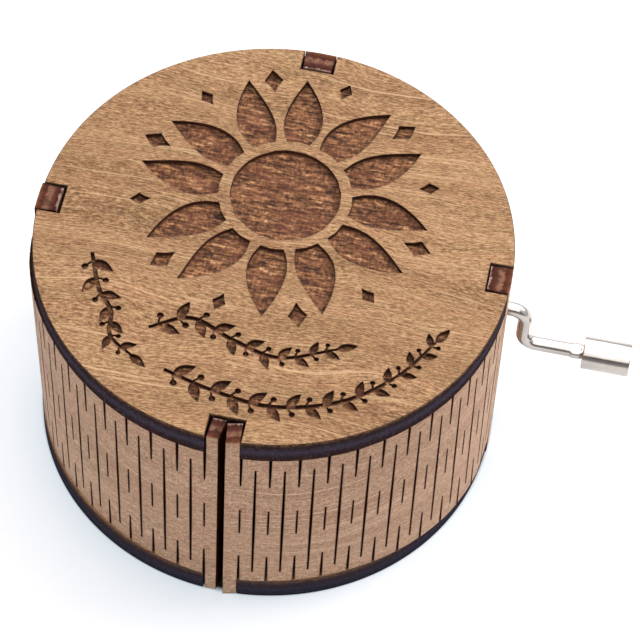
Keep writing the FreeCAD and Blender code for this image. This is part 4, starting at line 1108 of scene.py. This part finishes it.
def make_sky():
    """A white tent, brightest overhead, with the dark of the room in its open front."""
    world = bpy.data.worlds.new("studio")
    world.use_nodes = True
    nodes = Nodes(world.node_tree)
    look = nodes.node("SeparateXYZ", {"Vector": nodes.node("TexCoord").outputs["Generated"]})
    height = look.outputs[2]
    frontal = nodes.spread(look.outputs[1], -0.56, -0.40, 1.0, 0.0)
    low = nodes.spread(height, 0.76, 0.85, 1.0, 0.0)
    room = nodes.ramp(height, [
        (0.0, (0.46, 0.44, 0.46, 1)), (0.32, (0.24, 0.23, 0.23, 1)), (0.58, (0.08, 0.08, 0.07, 1)),
    ])
    tent = nodes.ramp(height, [(0.0, (0.62, 0.66, 0.72, 1)), (0.75, (1.0, 1.0, 1.0, 1))])
    colour = nodes.blend(nodes.maths("MULTIPLY", frontal, low), tent, room)
    nodes.feed(world.node_tree.nodes["Background"].inputs["Color"], colour)
    bpy.context.scene.world = world


def make_light():
    """The sky, a key from the right, two cards that only the gloss sees, and a weak fill."""
    make_sky()
    area_light("key_softbox", (0.48, 0.30, 0.46), (0.40, 0.35), 4.0, WARM_WHITE)
    gloss = area_light("gloss_card", (0, 0.75, 1.0), (2.4, 1.9), 26.0, WARM_WHITE)
    gloss.visible_diffuse = False
    card = area_light("front_card", (0, -0.46, 0.887), (1.6, 1.02), 9.3, WARM_WHITE)
    card.visible_diffuse = False
    fill = area_light("front_fill", (-0.12, -0.70, 0.28), (0.5, 0.4), 1.3, (1.0, 0.99, 0.98))
    fill.visible_glossy = False
    bpy.context.scene.view_settings.view_transform = "Standard"


AZIMUTH, ELEVATION, ROLL = (math.radians(angle) for angle in (9.7465, 56.167, -2.348))
DISTANCE = 423.37
AIM_POINT = Vector((0, 0, (BASE_LOW.z + TOP) / 2))
AIM_PIXEL = (271.06, 321.10)        # where that point shows in the photograph
FOCAL_PIXELS = 3040.47
IMAGE_SIDE = 640


def make_camera():
    """The photograph's camera, solved from the rims of both discs."""
    to_camera = Vector((
        math.sin(AZIMUTH) * math.cos(ELEVATION),
        -math.cos(AZIMUTH) * math.cos(ELEVATION),
        math.sin(ELEVATION),
    ))
    right = Vector((math.cos(AZIMUTH), math.sin(AZIMUTH), 0))
    up = right.cross(-to_camera)
    level_rows = Matrix((right, up, -to_camera))
    half = IMAGE_SIDE / 2
    towards = Vector((AIM_PIXEL[0] - half, half - AIM_PIXEL[1], FOCAL_PIXELS))
    swing = Vector((0, 0, 1)).rotation_difference(towards).to_matrix()
    rows = swing @ Matrix.Rotation(ROLL, 3, "Z") @ level_rows
    turned_rows = Matrix((rows[0], rows[1], -rows[2])).transposed()
    lens = bpy.data.cameras.new("photo_camera")
    lens.lens = FOCAL_PIXELS * lens.sensor_width / IMAGE_SIDE
    lens.clip_start, lens.clip_end = 0.01, 20
    camera = add_object("photo_camera", lens)
    spot = (AIM_POINT + to_camera * DISTANCE) * MM
    camera.matrix_world = Matrix.Translation(spot) @ turned_rows.to_4x4()
    bpy.context.scene.camera = camera


make_lid()
make_base()
make_wall()
make_wire()
make_knob()
make_screw_heads(finish_movement())
make_floor()
make_light()
make_camera()
